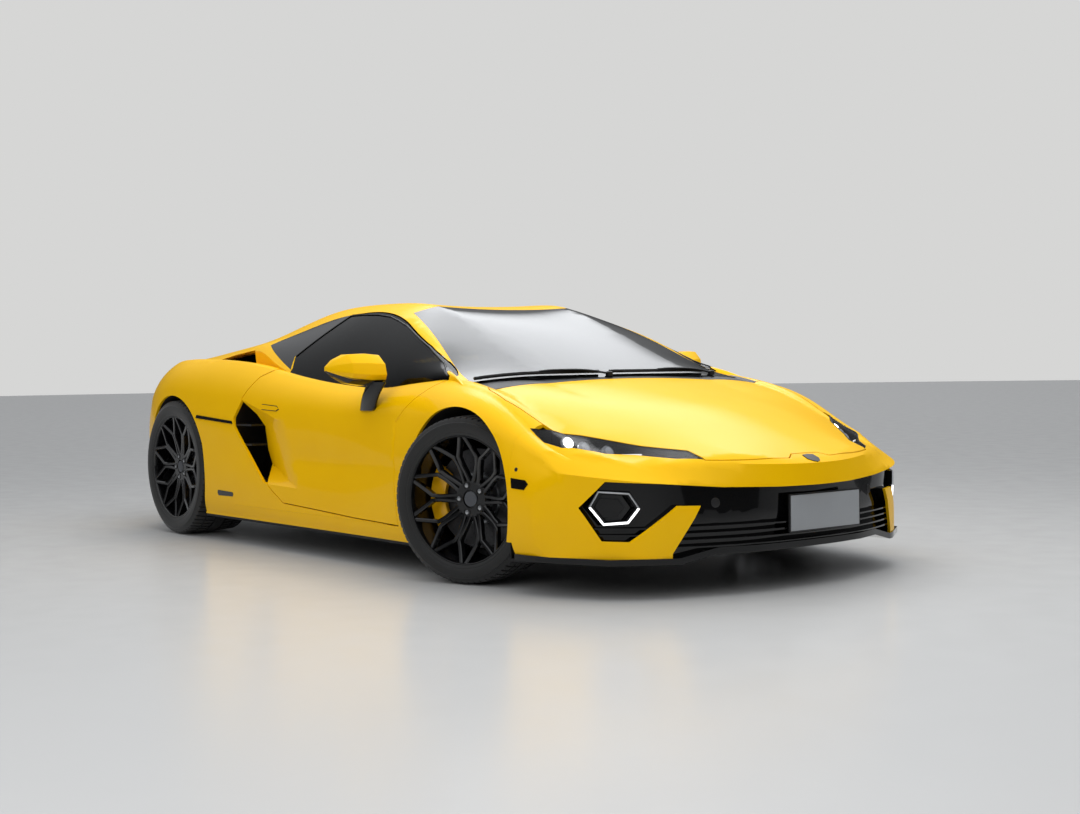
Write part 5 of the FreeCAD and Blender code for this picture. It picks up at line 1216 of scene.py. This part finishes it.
def merged_node(node: str) -> Shape:
    """Copy a node's mesh and join its loose triangles.

    Args:
        node: The node's name.

    Returns:
        The copy.
    """
    shape = bmesh.new()
    shape.from_mesh(frame["nodes"][node].data)
    bmesh.ops.remove_doubles(shape, verts=shape.verts, dist=WELD)
    return shape


@dataclass
class Headlamps:
    """Clear covers over dark housings with lit lenses and light bars.

    A spot is a share of the half length and of the half width.
    """

    half_length: float = 2.353
    half_width: float = 0.998
    cover_slope: float = 0.05
    cover_wall: float = 0.003
    housing_wall: float = 0.002
    lit_spots: Outline = ((0.747, 0.776),)
    lens_spots: Outline = ((0.774, 0.742), (0.806, 0.686))
    lit_radius: float = 0.0224
    lens_radius: float = 0.01792
    bezel_radius: float = 0.028
    lens_depth: float = 0.022
    lens_tilt: float = 62.0
    dome_share: float = 0.72
    bar_spots: Outline = ((0.826, 0.690), (0.838, 0.650), (0.850, 0.612))
    bar_depth: float = 0.013
    bar_radius: float = 0.0026
    fin_spots: Outline = ((0.836, 0.640), (0.862, 0.590))
    fin_depth: float = 0.04
    fin_turn: float = 20.0
    fin: Outline = ((-0.02, -0.012), (0.02, -0.012), (0.024, 0.012), (-0.012, 0.012))
    fin_half: float = 0.0035

    def _spot(self, probe: Probe, sign: int, share: tuple[float, float], depth: float) -> Vector:
        """Point below the cover.

        Args:
            probe: Finds the cover.
            sign: One for the left lamp, minus one for the right.
            share: The spot.
            depth: How far it lies below the cover.

        Returns:
            The point.
        """
        x, y = share[0] * self.half_length, sign * share[1] * self.half_width
        return probe.top(x, y) - Vector((0, 0, depth))

    def _lenses(self, probe: Probe, sign: int, spots: Outline, radius: float, low: float,
                high: float) -> Shape:
        """Domed discs that face ahead and up.

        Args:
            probe: Finds the cover.
            sign: One for the left lamp, minus one for the right.
            spots: Where they sit.
            radius: Their radius.
            low: Height of the back over the spot.
            high: Height of the shoulder.

        Returns:
            The discs.
        """
        found = []
        for share in spots:
            dome = spun([(low, 0.0), (low, radius), (high - 0.004, radius),
                         (high, radius * self.dome_share), (high + 0.004, 0.0)], 40)
            upright = placed(dome, Matrix.Rotation(math.radians(90), 4, "X"))
            place = Matrix.Translation(self._spot(probe, sign, share, self.lens_depth))
            tilt = Matrix.Rotation(math.radians(self.lens_tilt), 4, "Y")
            found.append(placed(upright, place @ tilt))
        return joined(found)

    def _fins(self, probe: Probe, sign: int) -> Shape:
        """Bright fins behind the light bar.

        Args:
            probe: Finds the cover.
            sign: One for the left lamp, minus one for the right.

        Returns:
            The fins.
        """
        turn = Matrix.Rotation(math.radians(sign * self.fin_turn), 4, "Z")
        return joined([
            placed(extruded(self.fin, -self.fin_half, self.fin_half, 0.001),
                   Matrix.Translation(self._spot(probe, sign, share, self.fin_depth)) @ turn)
            for share in self.fin_spots])

    def build(self) -> None:
        """Split each lamp block into cover and housing, and fill it."""
        source, slope = merged_node("headlamps"), self.cover_slope
        cover = thickened(source, lambda face: face.normal.z > slope, self.cover_wall)
        make_piece("headlamp_covers", cover, LAMP_GLASS, replaced=["headlamps"])
        housing = thickened(source, lambda face: face.normal.z <= slope, self.housing_wall)
        make_piece("headlamp_housings", housing, SATIN_BLACK)
        source.free()
        probe = Probe("headlamps")
        for name, spots, radius, low, high, finish in (
                ("lit_lenses", self.lit_spots, self.lit_radius, -0.004, 0.004, LAMP_GLOW),
                # The unlit lenses glow grey: painted reflection
                ("lenses", self.lens_spots, self.lens_radius, -0.004, 0.004, LENS_PAINTED_GLOW),
                # The bezels' rims glow faintly: painted reflection
                ("bezels", (*self.lit_spots, *self.lens_spots), self.bezel_radius, -0.016, -0.004,
                 RIM_PAINTED_GLOW)):
            make_piece(f"headlamp_{name}", both_sides(
                lambda sign: self._lenses(probe, sign, spots, radius, low, high)), finish)
        make_piece("headlamp_light_bars", both_sides(lambda sign: tube(smooth_path(
            [self._spot(probe, sign, share, self.bar_depth) for share in self.bar_spots]),
            self.bar_radius)), LIGHT_PIPE)
        make_piece("headlamp_fins", both_sides(lambda sign: self._fins(probe, sign)), ALUMINIUM)


@dataclass
class Nose:
    """Fittings of the bumper: lit rings, sensors, bare plate and shield, and markers.

    The ring's points are shares of the half width and of the height.
    """

    half_width: float = 0.998
    height: float = 1.201
    ring: Outline = ((0.859, 0.291), (0.837, 0.343), (0.755, 0.337), (0.724, 0.288),
                     (0.757, 0.24), (0.824, 0.234))
    ring_size: float = 0.93
    ring_lift: float = 0.003
    step: float = 0.02
    sensor: tuple[float, float] = (0.44, 0.355)
    sensor_radius: float = 0.019
    side_sensor: tuple[float, float] = (1.685, 0.485)
    side_sensor_radius: float = 0.008
    plate_middle: float = 0.055
    plate_half: float = 0.20
    plate_low: float = 0.229
    plate_high: float = 0.370
    plate_gap: float = 0.004
    plate_thickness: float = 0.0045
    frame_width: float = 0.004
    frame_depth: float = 0.010
    marker: Outline = ((1.662, 0.452), (1.739, 0.446), (1.756, 0.432), (1.737, 0.409),
                       (1.668, 0.413))
    shield: Outline = ((2.284, 0.0), (2.288, 0.030), (2.318, 0.033), (2.335, 0.020), (2.343, 0.0),
                       (2.335, -0.020), (2.318, -0.033), (2.288, -0.030))

    def _hexagon(self, sign: int, size: float) -> list[tuple[float, float]]:
        """The ring's outline, scaled about its middle.

        Args:
            sign: One for the left ring, minus one for the right.
            size: The scale.

        Returns:
            Points of y and z in metres.
        """
        middle = [sum(point[axis] for point in self.ring) / len(self.ring) for axis in (0, 1)]
        return [(sign * self.half_width * (middle[0] + (y - middle[0]) * size),
                 self.height * (middle[1] + (z - middle[1]) * size)) for y, z in self.ring]

    def _bar(self, grille: Probe, sign: int, first: int, radius: float) -> Shape:
        """Bar over three sides of the hexagon.

        Args:
            grille: Finds the grille.
            sign: One for the left ring, minus one for the right.
            first: Corner at which it starts.
            radius: Half its width.

        Returns:
            The bar.
        """
        corners = self._hexagon(sign, self.ring_size)
        run = [corners[number % len(corners)] for number in range(first, first + 4)]
        return tube([grille.front(y, z, self.ring_lift) for y, z in straight_path(run, self.step)],
                    radius)

    def _sensors(self, grille: Probe, side: Probe) -> None:
        """Round parking sensors on the grille and the bumper's sides.

        Args:
            grille: Finds the grille.
            side: Finds the bumper.
        """
        dots = []
        for sign in (1, -1):
            (y, z), (x, level) = self.sensor, self.side_sensor
            for (spot, normal), radius in (
                    (grille.meet((3.0, sign * y, z), (-1, 0, 0)), self.sensor_radius),
                    (side.meet((x, sign * 2.0, level), (0, -sign, 0)), self.side_sensor_radius)):
                turn = Vector((0, 1, 0)).rotation_difference(normal).to_matrix().to_4x4()
                dot = spun([(-0.004, 0.0), (-0.004, radius), (0.001, radius),
                            (0.0025, radius - 0.003), (0.0015, 0.0)], 32)
                dots.append(placed(dot, Matrix.Translation(spot) @ turn))
        make_piece("parking_sensors", joined(dots), SATIN_BLACK)

    def _board(self, grow: float, back: float, front: float) -> Shape:
        """Upright board of the plate's shape.

        Args:
            grow: How far it reaches past the plate's edges.
            back: X of its back.
            front: X of its front.

        Returns:
            The board.
        """
        corners = oblong(self.plate_middle - self.plate_half - grow,
                         self.plate_middle + self.plate_half + grow,
                         self.plate_low - grow, self.plate_high + grow)
        return rounded(slab([Vector((back, y, z)) for y, z in corners],
                            Vector((front - back, 0, 0))), 0.0012)

    def _plate(self, bumper: Probe) -> None:
        """Bare plate in a thin frame, upright ahead of the grille bars.

        Args:
            bumper: Finds the bumper and the grille.
        """
        ys = [self.plate_middle + self.plate_half * i / 8 for i in range(-8, 9)]
        zs = [self.plate_low + (self.plate_high - self.plate_low) * i / 14 for i in range(15)]
        ahead = max(bumper.front(y, z).x for y in ys for z in zs) + self.plate_gap
        frame_board = self._board(self.frame_width, ahead - self.frame_depth, ahead)
        make_piece("plate_frame", frame_board, SATIN_BLACK)
        back = ahead - 0.002
        make_piece("plate_blank", self._board(-0.002, back, back + self.plate_thickness), PLATE_GREY)

    def build(self) -> None:
        """Build the fittings."""
        grille, side = Probe("front_grilles"), Probe("front_bumper")
        for name, first, radius, finish in (("lower", 3, 0.0044, LIGHT_PIPE),
                                            ("upper", 0, 0.0040, ALUMINIUM)):
            make_piece(f"hex_lamp_{name}_rings", both_sides(
                lambda sign: self._bar(grille, sign, first, radius)), finish)
        for name, size, lift, finish in (("surrounds", 0.78, 0.006, SATIN_BLACK),
                                         ("lenses", 0.55, 0.011, GLOSS_BLACK)):
            make_piece(f"hex_lamp_{name}", both_sides(lambda sign: draped(
                self._hexagon(sign, size), grille.front, self.step, lift, 0.014)), finish)
        self._sensors(grille, side)
        self._plate(Probe("front_bumper", "front_grilles"))
        make_piece("bare_shield", draped(self.shield, side.top, 0.008, 0.003, 0.006), GLOSS_BLACK)
        make_piece("front_side_markers", both_sides(lambda sign: draped(
            self.marker, side.from_side(sign), self.step, 0.0022, 0.008)), GLOSS_BLACK)


@dataclass
class Mirrors:
    """Door mirrors: an angular painted cap over a black body, with the glass and the stalk.

    A station is its y, the x of its rear and front, and the z of its bottom and top. The
    section's points are shares of the station's length and height.
    """

    stations: Sequence[tuple[float, float, float, float, float]] = (
        (0.902, 0.508, 0.650, 0.822, 0.930), (0.912, 0.500, 0.668, 0.808, 0.941),
        (0.980, 0.496, 0.652, 0.806, 0.948), (1.050, 0.492, 0.615, 0.818, 0.945),
        (1.096, 0.488, 0.560, 0.846, 0.922), (1.123, 0.486, 0.510, 0.870, 0.892))
    section: Outline = ((0.0, 0.10), (0.0, 0.90), (0.14, 1.0), (0.60, 1.0), (0.92, 0.70),
                        (1.0, 0.34), (0.92, 0.12), (0.62, 0.0), (0.10, 0.0))
    seam: float = 0.14
    overlap: float = 0.03
    body_inset: float = 0.006
    softness: float = 0.004
    glass_low: float = 0.28
    glass_high: float = 0.86
    foot: tuple[float, float, float] = (0.505, 0.914, 0.694)
    top: tuple[float, float, float] = (0.628, 0.940, 0.822)
    stalk_half: tuple[float, float] = (0.062, 0.020)
    stalk_growth: float = 0.010
    stalk_bow: float = 0.010
    stalk_waist: float = 0.003
    stalk_rings: int = 9
    stalk_sides: int = 24

    def _loft(self, sign: int, low: float, high: float, shrink: float) -> Shape:
        """Closed body through the stations, between two shares of its height.

        Args:
            sign: One for the left mirror, minus one for the right.
            low: Lowest share of the section's height that is kept.
            high: Highest share that is kept.
            shrink: How far it lies inside the stations' outlines.

        Returns:
            The body with softened edges.
        """
        rings = []
        for y, rear, front, bottom, top in self.stations:
            rings.append([Vector((rear + shrink + along * (front - rear - 2 * shrink), sign * y,
                                  bottom + min(max(rise, low), high) * (top - bottom)))
                          for along, rise in self.section])
        shape = lofted(rings)
        bmesh.ops.remove_doubles(shape, verts=shape.verts, dist=1e-5)
        face_out(shape)
        return rounded(shape, self.softness, 3, 18.0)

    def _glass(self, sign: int) -> Shape:
        """Pane on the rear face.

        Args:
            sign: One for the left mirror, minus one for the right.

        Returns:
            The pane.
        """
        face = [Vector((rear + 0.0005, sign * y, bottom + share * (top - bottom)))
                for share, run in ((self.glass_low, self.stations[1:-1]),
                                   (self.glass_high, self.stations[-2:0:-1]))
                for y, rear, _, bottom, top in run]
        return slab(face, Vector((-0.002, 0, 0)))

    def _stalk(self, sign: int) -> Shape:
        """Blade that carries the mirror and widens towards it.

        Args:
            sign: One for the left mirror, minus one for the right.

        Returns:
            The blade.
        """
        turns = [FULL_TURN * number / self.stalk_sides for number in range(self.stalk_sides)]
        rings = []
        for number in range(self.stalk_rings):
            share = number / (self.stalk_rings - 1)
            bow = math.sin(math.pi * share)
            centre = Vector(self.foot).lerp(Vector(self.top), share)
            centre.y += self.stalk_bow * bow
            half_x = self.stalk_half[0] + self.stalk_growth * share
            half_y = self.stalk_half[1] - self.stalk_waist * bow
            rings.append([Vector((centre.x + half_x * math.cos(turn),
                                  sign * (centre.y + half_y * math.sin(turn)), centre.z))
                          for turn in turns])
        return lofted(rings)

    def build(self) -> None:
        """Build both mirrors."""
        for name, sign in SIDES:
            body = f"door_{name}"
            make_piece(f"mirror_cap_{name}", self._loft(sign, self.seam, 1.0, 0.0), PAINT, body,
                       [f"mirror_{name}"], 40)
            lower = self._loft(sign, 0.0, self.seam + self.overlap, self.body_inset)
            make_piece(f"mirror_body_{name}", lower, GLOSS_BLACK, body, (), 40)
            make_piece(f"mirror_glass_{name}", self._glass(sign), MIRROR_SILVER, body)
            make_piece(f"mirror_stalk_{name}", self._stalk(sign), GLOSS_BLACK, body, (), 50)


@dataclass
class Sides:
    """Handles, black strips, markers, window seals and wipers.

    The glass is outlined by shares of the car's half length and of its height.
    """

    half_length: float = 2.353
    height: float = 1.201
    bar: Outline = ((-1.075, 0.652), (-0.700, 0.627), (-0.690, 0.612), (-1.085, 0.636))
    rear_marker: Outline = ((-0.866, 0.268), (-0.716, 0.264), (-0.708, 0.254), (-0.718, 0.242),
                            (-0.868, 0.240), (-0.876, 0.254))
    handle: Outline = ((-0.415, 0.712), (-0.285, 0.704), (-0.262, 0.694), (-0.285, 0.684),
                       (-0.415, 0.690))
    # How far the black strip round each handle reaches past it; the strip is painted shadow of the
    # gap
    handle_gap: tuple[float, float] = (0.004, 0.0035)
    handle_middle: tuple[float, float] = (-0.35, 0.697)
    glass: Outline = ((0.423, 0.702), (0.3, 0.81), (0.178, 0.9), (0.13, 0.925), (0.085, 0.9425),
                      (0.03, 0.953), (-0.04, 0.957), (-0.085, 0.955), (-0.165, 0.79))
    glass_middle: tuple[float, float] = (0.13, 0.82)
    seal_inset: float = 0.007
    seal_radius: float = 0.0055
    step: float = 0.03
    wipers: Sequence[tuple[float, float, float]] = ((-0.76, -0.12, -0.08), (-0.06, 0.54, 0.58))
    wiper_steps: int = 14
    blade_behind: float = 0.034
    blade_lift: float = 0.011
    blade_radius: float = 0.0055
    pivot_behind: float = 0.010
    pivot_lift: float = 0.012
    arm_rises: Outline = ((0.0, 0.0), (0.35, 0.014), (0.8, 0.012), (1.0, 0.006))
    arm_radius: float = 0.0075
    pivot_boss: Outline = ((-0.012, 0.0), (-0.012, 0.016), (0.006, 0.016), (0.010, 0.010),
                           (0.011, 0.0))
    screen_foot: float = 0.51
    screen_bow: float = 0.025
    screen_half: float = 0.788

    def _seal(self, name: str, sign: int) -> Shape:
        """Rubber along the edge of the door's glass.

        Args:
            name: The side's name.
            sign: One for the left side, minus one for the right.

        Returns:
            The seal.
        """
        pane, scale = Probe(f"door_glass_{name}"), Vector((self.half_length, self.height))
        centre = Vector(self.glass_middle) * scale
        edge = []
        corners = [tuple(Vector(share) * scale) for share in self.glass]
        for x, z in straight_path(corners, self.step):
            inward = (centre - Vector((x, z))).normalized() * self.seal_inset
            edge.append(pane.side(x + inward.x, z + inward.y, sign, 0.001))
        return tube(edge, self.seal_radius, 6, flat=0.6)

    def _foot(self, y: float, behind: float) -> float:
        """X of the windscreen's curved foot, less a distance."""
        bow = self.screen_bow * (y / self.screen_half) ** 2
        return (self.screen_foot - bow) * self.half_length - behind

    def _wipers(self) -> None:
        """Two wipers parked along the foot of the windscreen."""
        pane = Probe("windscreen", "cowl", "hood", "front_fenders", "roof")
        arms, blades = [], []
        for start, end, pivot in self.wipers:
            line = [start + (end - start) * i / self.wiper_steps
                    for i in range(self.wiper_steps + 1)]
            path = [pane.top(self._foot(y, self.blade_behind), y, self.blade_lift) for y in line]
            blades.append(tube(path, self.blade_radius, 6, flat=1.5))
            hinge = pane.top(self._foot(pivot, self.pivot_behind), pivot, self.pivot_lift)
            middle = path[self.wiper_steps // 2]
            arm = [hinge.lerp(middle, share) + Vector((0, 0, rise))
                   for share, rise in self.arm_rises]
            arms.append(tube(smooth_path(arm), self.arm_radius, 8, flat=0.6))
            upright = Matrix.Rotation(math.radians(90), 4, "X")
            arms.append(placed(spun(self.pivot_boss, 24), Matrix.Translation(hinge) @ upright))
        make_piece("wiper_arms", joined(arms), SATIN_BLACK)
        make_piece("wiper_blades", joined(blades), SEAL_RUBBER)

    def build(self) -> None:
        """Build the fittings of both sides."""
        quarter = Probe("rear_quarters")
        for name, outline, lift, depth in (("bars", self.bar, 0.004, 0.010),
                                           ("markers", self.rear_marker, 0.0018, 0.006)):
            make_piece(f"rear_side_{name}", both_sides(lambda sign: draped(
                outline, quarter.from_side(sign), self.step, lift, depth)), GLOSS_BLACK)
        grow_x, grow_z = self.handle_gap
        middle_x, middle_z = self.handle_middle
        gap = [(x + math.copysign(grow_x, x - middle_x), z + math.copysign(grow_z, z - middle_z))
               for x, z in self.handle]
        for name, sign in SIDES:
            body = f"door_{name}"
            door = Probe(body).from_side(sign)
            make_piece(f"door_handle_{name}", draped(self.handle, door, 0.02, 0.0035, 0.010),
                       PAINT, body, (), 50)
            # Black strip round the handle: painted shadow in the gap round it
            make_piece(f"door_handle_painted_shadow_{name}", draped(gap, door, 0.02, 0.0012, 0.006),
                       SATIN_BLACK, body)
            make_piece(f"window_seal_{name}", self._seal(name, sign), SEAL_RUBBER, body)
        self._wipers()


@dataclass
class Tail:
    """Rear mesh, light bars, exhaust outlets and the bare rear plate.

    The lamps' lines are shares of the car's half width and of its height.
    """

    half_width: float = 0.998
    height: float = 1.201
    lamp_line: Outline = ((0.655, 0.640), (0.585, 0.628), (0.545, 0.638))
    lamp_branch: Outline = ((0.585, 0.628), (0.605, 0.583))
    lamp_radius: float = 0.006
    mesh_low: float = 0.585
    mesh_high: float = 0.775
    mesh_pitch: float = 0.021
    mesh_steps: int = 40
    mesh_lift: float = 0.012
    wire_radius: float = 0.0026
    mesh_half: float = 0.47
    shoulder_level: float = 0.70
    shoulder_half: float = 0.60
    shoulder_slope: float = 0.3
    uprights: int = 16
    upright_pitch: float = 0.028
    upright_lift: float = 0.010
    upright_radius: float = 0.0022
    upright_levels: Sequence[float] = (0.575, 0.65, 0.71, 0.775)
    outlet_place: tuple[float, float, float] = (-2.340, 0.074, 0.520)
    outlet_radius: float = 0.055
    plate: Sequence[float] = (-0.26, 0.26, 0.306, 0.416)

    def _lights(self, lamp: Probe, sign: int) -> Shape:
        """Lit line of a lamp with its branch.

        Args:
            lamp: Finds the lamps.
            sign: One for the left lamp, minus one for the right.

        Returns:
            The two bars.
        """
        return joined([
            tube([lamp.back(sign * y * self.half_width, z * self.height, 0.002)
                  for y, z in straight_path(line, 0.01)], self.lamp_radius, 6)
            for line in (self.lamp_line, self.lamp_branch)])

    def _mesh(self, tray: Probe) -> Shape:
        """Wires across and upright over the rear opening.

        Args:
            tray: Finds the panel behind the mesh.

        Returns:
            The wires.
        """
        wires = []
        level = self.mesh_low
        while level < self.mesh_high:
            reach = (self.shoulder_half + (level - self.mesh_low) * self.shoulder_slope
                     if level > self.shoulder_level else self.mesh_half)
            path = [tray.back(reach * (2 * number / self.mesh_steps - 1), level, self.mesh_lift)
                    for number in range(self.mesh_steps + 1)]
            wires.append(tube(path, self.wire_radius, 6))
            level += self.mesh_pitch
        for number in range(-self.uprights, self.uprights + 1):
            path = [tray.back(number * self.upright_pitch, z, self.upright_lift)
                    for z in self.upright_levels]
            wires.append(tube(path, self.upright_radius, 6))
        return joined(wires)

    def _outlets(self, profile: Outline, steps: int) -> Shape:
        """A turned shape at each outlet, with its y ahead of the tip.

        Args:
            profile: Points of (y, radius).
            steps: Segments round the outlet.

        Returns:
            The two shapes.
        """
        x, y, z = self.outlet_place
        turn = Matrix.Rotation(math.radians(90), 4, "Z")
        return both_sides(lambda sign: placed(
            spun(profile, steps), Matrix.Translation((x, sign * y, z)) @ turn))

    def build(self) -> None:
        """Build the fittings of the tail."""
        lamp, radius = Probe("tail_lamps"), self.outlet_radius
        make_piece("tail_light_bars", both_sides(lambda sign: self._lights(lamp, sign)), TAIL_GLOW)
        make_piece("rear_mesh", self._mesh(Probe("rear_grille")), GLOSS_BLACK)
        lips = self._outlets([
            (-0.138, radius), (-0.002, radius), (0.0, radius - 0.002), (0.0, radius - 0.004),
            (-0.004, radius - 0.007), (-0.110, radius - 0.009), (-0.138, radius - 0.006)], 64)
        make_piece("exhaust_outlets", lips, EXHAUST_STEEL, replaced=["exhaust_tips"])
        # Black discs that close the pipes deep inside: painted shade of the pipes' insides
        throat_shades = self._outlets([(-0.132, 0.0), (-0.132, radius - 0.006),
                                 (-0.126, radius - 0.006), (-0.126, 0.0)], 40)
        make_piece("exhaust_throat_shade", throat_shades, SATIN_BLACK)
        back = Probe("diffuser").back(0.0, 0.36).x - 0.002
        board = slab([Vector((back, y, z)) for y, z in oblong(*self.plate)], Vector((-0.003, 0, 0)))
        make_piece("rear_plate_blank", rounded(board, 0.001), PLATE_GREY)


@dataclass(frozen=True)
class Trim:
    """A plain fitting of the cabin: a prism along Y with rounded edges."""

    name: str
    outline: Outline
    low: float
    high: float
    bevel: float
    segments: int
    finish: Finish
    smooth_angle: float = 35.0

    def build(self) -> None:
        """Build the piece."""
        shape = extruded(self.outline, self.low, self.high, self.bevel, self.segments)
        make_piece(self.name, shape, self.finish, smooth_angle=self.smooth_angle)


@dataclass
class Cabin:
    """Padded seats, instrument hood, screens, vents and trim, as outlines of x and z."""

    seat_y: float = 0.36
    cushion: Outline = ((-0.04, 0.27), (0.385, 0.27), (0.385, 0.395), (0.36, 0.425), (-0.02, 0.362))
    bolster: Outline = ((-0.04, 0.27), (0.385, 0.27), (0.385, 0.425), (0.34, 0.43), (-0.02, 0.40))
    wing: Outline = ((-0.045, 0.39), (-0.16, 0.60), (-0.225, 0.76), (-0.335, 0.76), (-0.25, 0.42))
    back: Outline = ((-0.05, 0.375), (-0.235, 0.775), (-0.335, 0.775), (-0.235, 0.40),
                     (-0.20, 0.33))
    head: Outline = ((-0.262, 0.790), (-0.284, 0.915), (-0.372, 0.915), (-0.355, 0.790))
    shell: Outline = ((-0.27, 0.17), (-0.20, 0.17), (0.38, 0.17), (0.38, 0.26), (-0.06, 0.26),
                      (-0.21, 0.33), (-0.345, 0.775), (-0.38, 0.78), (-0.375, 0.70))
    shell_half: float = 0.225
    bolster_near: float = 0.157
    bolster_far: float = 0.232
    crown: float = 0.05
    long_edge: float = 0.08
    long_edge_cuts: int = 3
    pad_segments: int = 5
    screens: Sequence[Trim] = (
        Trim("instrument_hood", ((0.50, 0.700), (0.52, 0.772), (0.60, 0.785), (0.72, 0.770),
                                 (0.72, 0.70)), 0.20, 0.52, 0.012, 4, LEATHER, 45),
        Trim("instrument_screen", ((0.505, 0.645), (0.515, 0.745), (0.525, 0.745), (0.515, 0.645)),
             0.23, 0.49, 0.001, 2, GLOSS_BLACK),
        Trim("centre_screen", ((0.50, 0.520), (0.512, 0.66), (0.528, 0.66), (0.52, 0.52)),
             -0.10, 0.10, 0.002, 2, GLOSS_BLACK))
    vent_ys: Sequence[float] = (-0.44, -0.18, 0.17, 0.53)
    vent_half: float = 0.045
    vent_low: float = 0.655
    vent_pitch: float = 0.014
    vent_rows: int = 4
    lever: Trim = Trim("console_lever", ((0.02, 0.478), (0.10, 0.478), (0.085, 0.525),
                                         (0.03, 0.525)), -0.03, 0.03, 0.008, 3, ALUMINIUM, 45)

    def _pad(self, side: Outline, low: float, high: float, soft: float) -> Shape:
        """Rounded pad over a side outline, crowned across its width.

        Args:
            side: The outline.
            low: Where it starts along Y.
            high: Where it ends.
            soft: Width of its rounding.

        Returns:
            The pad.
        """
        shape = extruded(side, low, high, soft, self.pad_segments)
        long_edges = [edge for edge in shape.edges if edge.calc_length() > self.long_edge]
        bmesh.ops.subdivide_edges(shape, edges=long_edges, cuts=self.long_edge_cuts,
                                  use_grid_fill=True)
        middle, half = (low + high) / 2, (high - low) / 2
        centre = Vector((sum(x for x, _ in side), 0, sum(z for _, z in side))) / len(side)
        for vert in shape.verts:
            away = Vector((vert.co.x - centre.x, 0, vert.co.z - centre.z))
            vert.co -= away * (self.crown * ((vert.co.y - middle) / half) ** 2)
        return shape

    def _seat(self, y: float) -> list[Shape]:
        """Pads of one seat.

        Args:
            y: Its middle.

        Returns:
            The pads.
        """
        pads = [self._pad(side, y - half, y + half, soft)
                for side, half, soft in ((self.cushion, 0.155, 0.022), (self.back, 0.150, 0.022),
                                         (self.head, 0.120, 0.028))]
        for sign in (1, -1):
            low, high = sorted((y + sign * self.bolster_near, y + sign * self.bolster_far))
            pads += [self._pad(side, low, high, 0.024) for side in (self.bolster, self.wing)]
        return pads

    def _vents(self) -> Shape:
        """Slats of the air vents.

        Returns:
            The slats.
        """
        slats = []
        for y in self.vent_ys:
            for row in range(self.vent_rows):
                z = self.vent_low + row * self.vent_pitch
                outline = ((0.50, z), (0.56, z + 0.004), (0.56, z + 0.007), (0.50, z + 0.003))
                slats.append(extruded(outline, y - self.vent_half, y + self.vent_half, 0.0006, 1))
        return joined(slats)

    def build(self) -> None:
        """Build the cabin's pieces."""
        seats = make_piece("seat_pads", joined(self._seat(self.seat_y) + self._seat(-self.seat_y)),
                           LEATHER, "car", ["seats"], 60)
        shells = both_sides(lambda sign: extruded(
            self.shell, sign * self.seat_y - self.shell_half, sign * self.seat_y + self.shell_half,
            0.006))
        make_piece("seat_shells", shells, GLOSS_BLACK, smooth_angle=40)
        for screen in self.screens:
            screen.build()
        make_piece("vent_slats", self._vents(), ALUMINIUM)
        self.lever.build()


@dataclass
class Skins:
    """Panels and panes: merged copies of the frame's shells, so that gloss flows over them."""

    nodes: Sequence[str] = tuple((
        "hood front_fenders front_bumper sills rear_quarters rear_bumper roof rear_deck door_left "
        "door_right engine_cover cowl splitter windscreen quarter_glass door_glass_left "
        "door_glass_right front_grilles rear_grille tail_lamps side_intakes diffuser").split())

    def build(self) -> None:
        """Make one smooth piece for each panel."""
        for node in self.nodes:
            body = frame["nodes"][node]["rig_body"]
            make_piece(f"{node}_panel", merged_node(node), NODE_FINISHES[node], body, [node])


def dress_nodes() -> None:
    """Give every carried-over node its finish."""
    for node, item in frame["nodes"].items():
        finish = NODE_FINISHES.get(node, SATIN_BLACK)
        for part, corner_finish in CORNER_FINISHES.items():
            if node.startswith(part):
                finish = corner_finish
        item.data.materials.clear()
        item.data.materials.append(finish.build())


def main() -> None:
    """Build the studio and dress the car."""
    logging.basicConfig(level=logging.INFO, format="%(name)s %(message)s")
    Studio().build()
    dress_nodes()
    Skins().build()
    for assembly in (*wheel_corners(), Headlamps(), Nose(), Mirrors(), Sides(), Tail(), Cabin()):
        assembly.build()


if __name__ == "__main__":
    main()
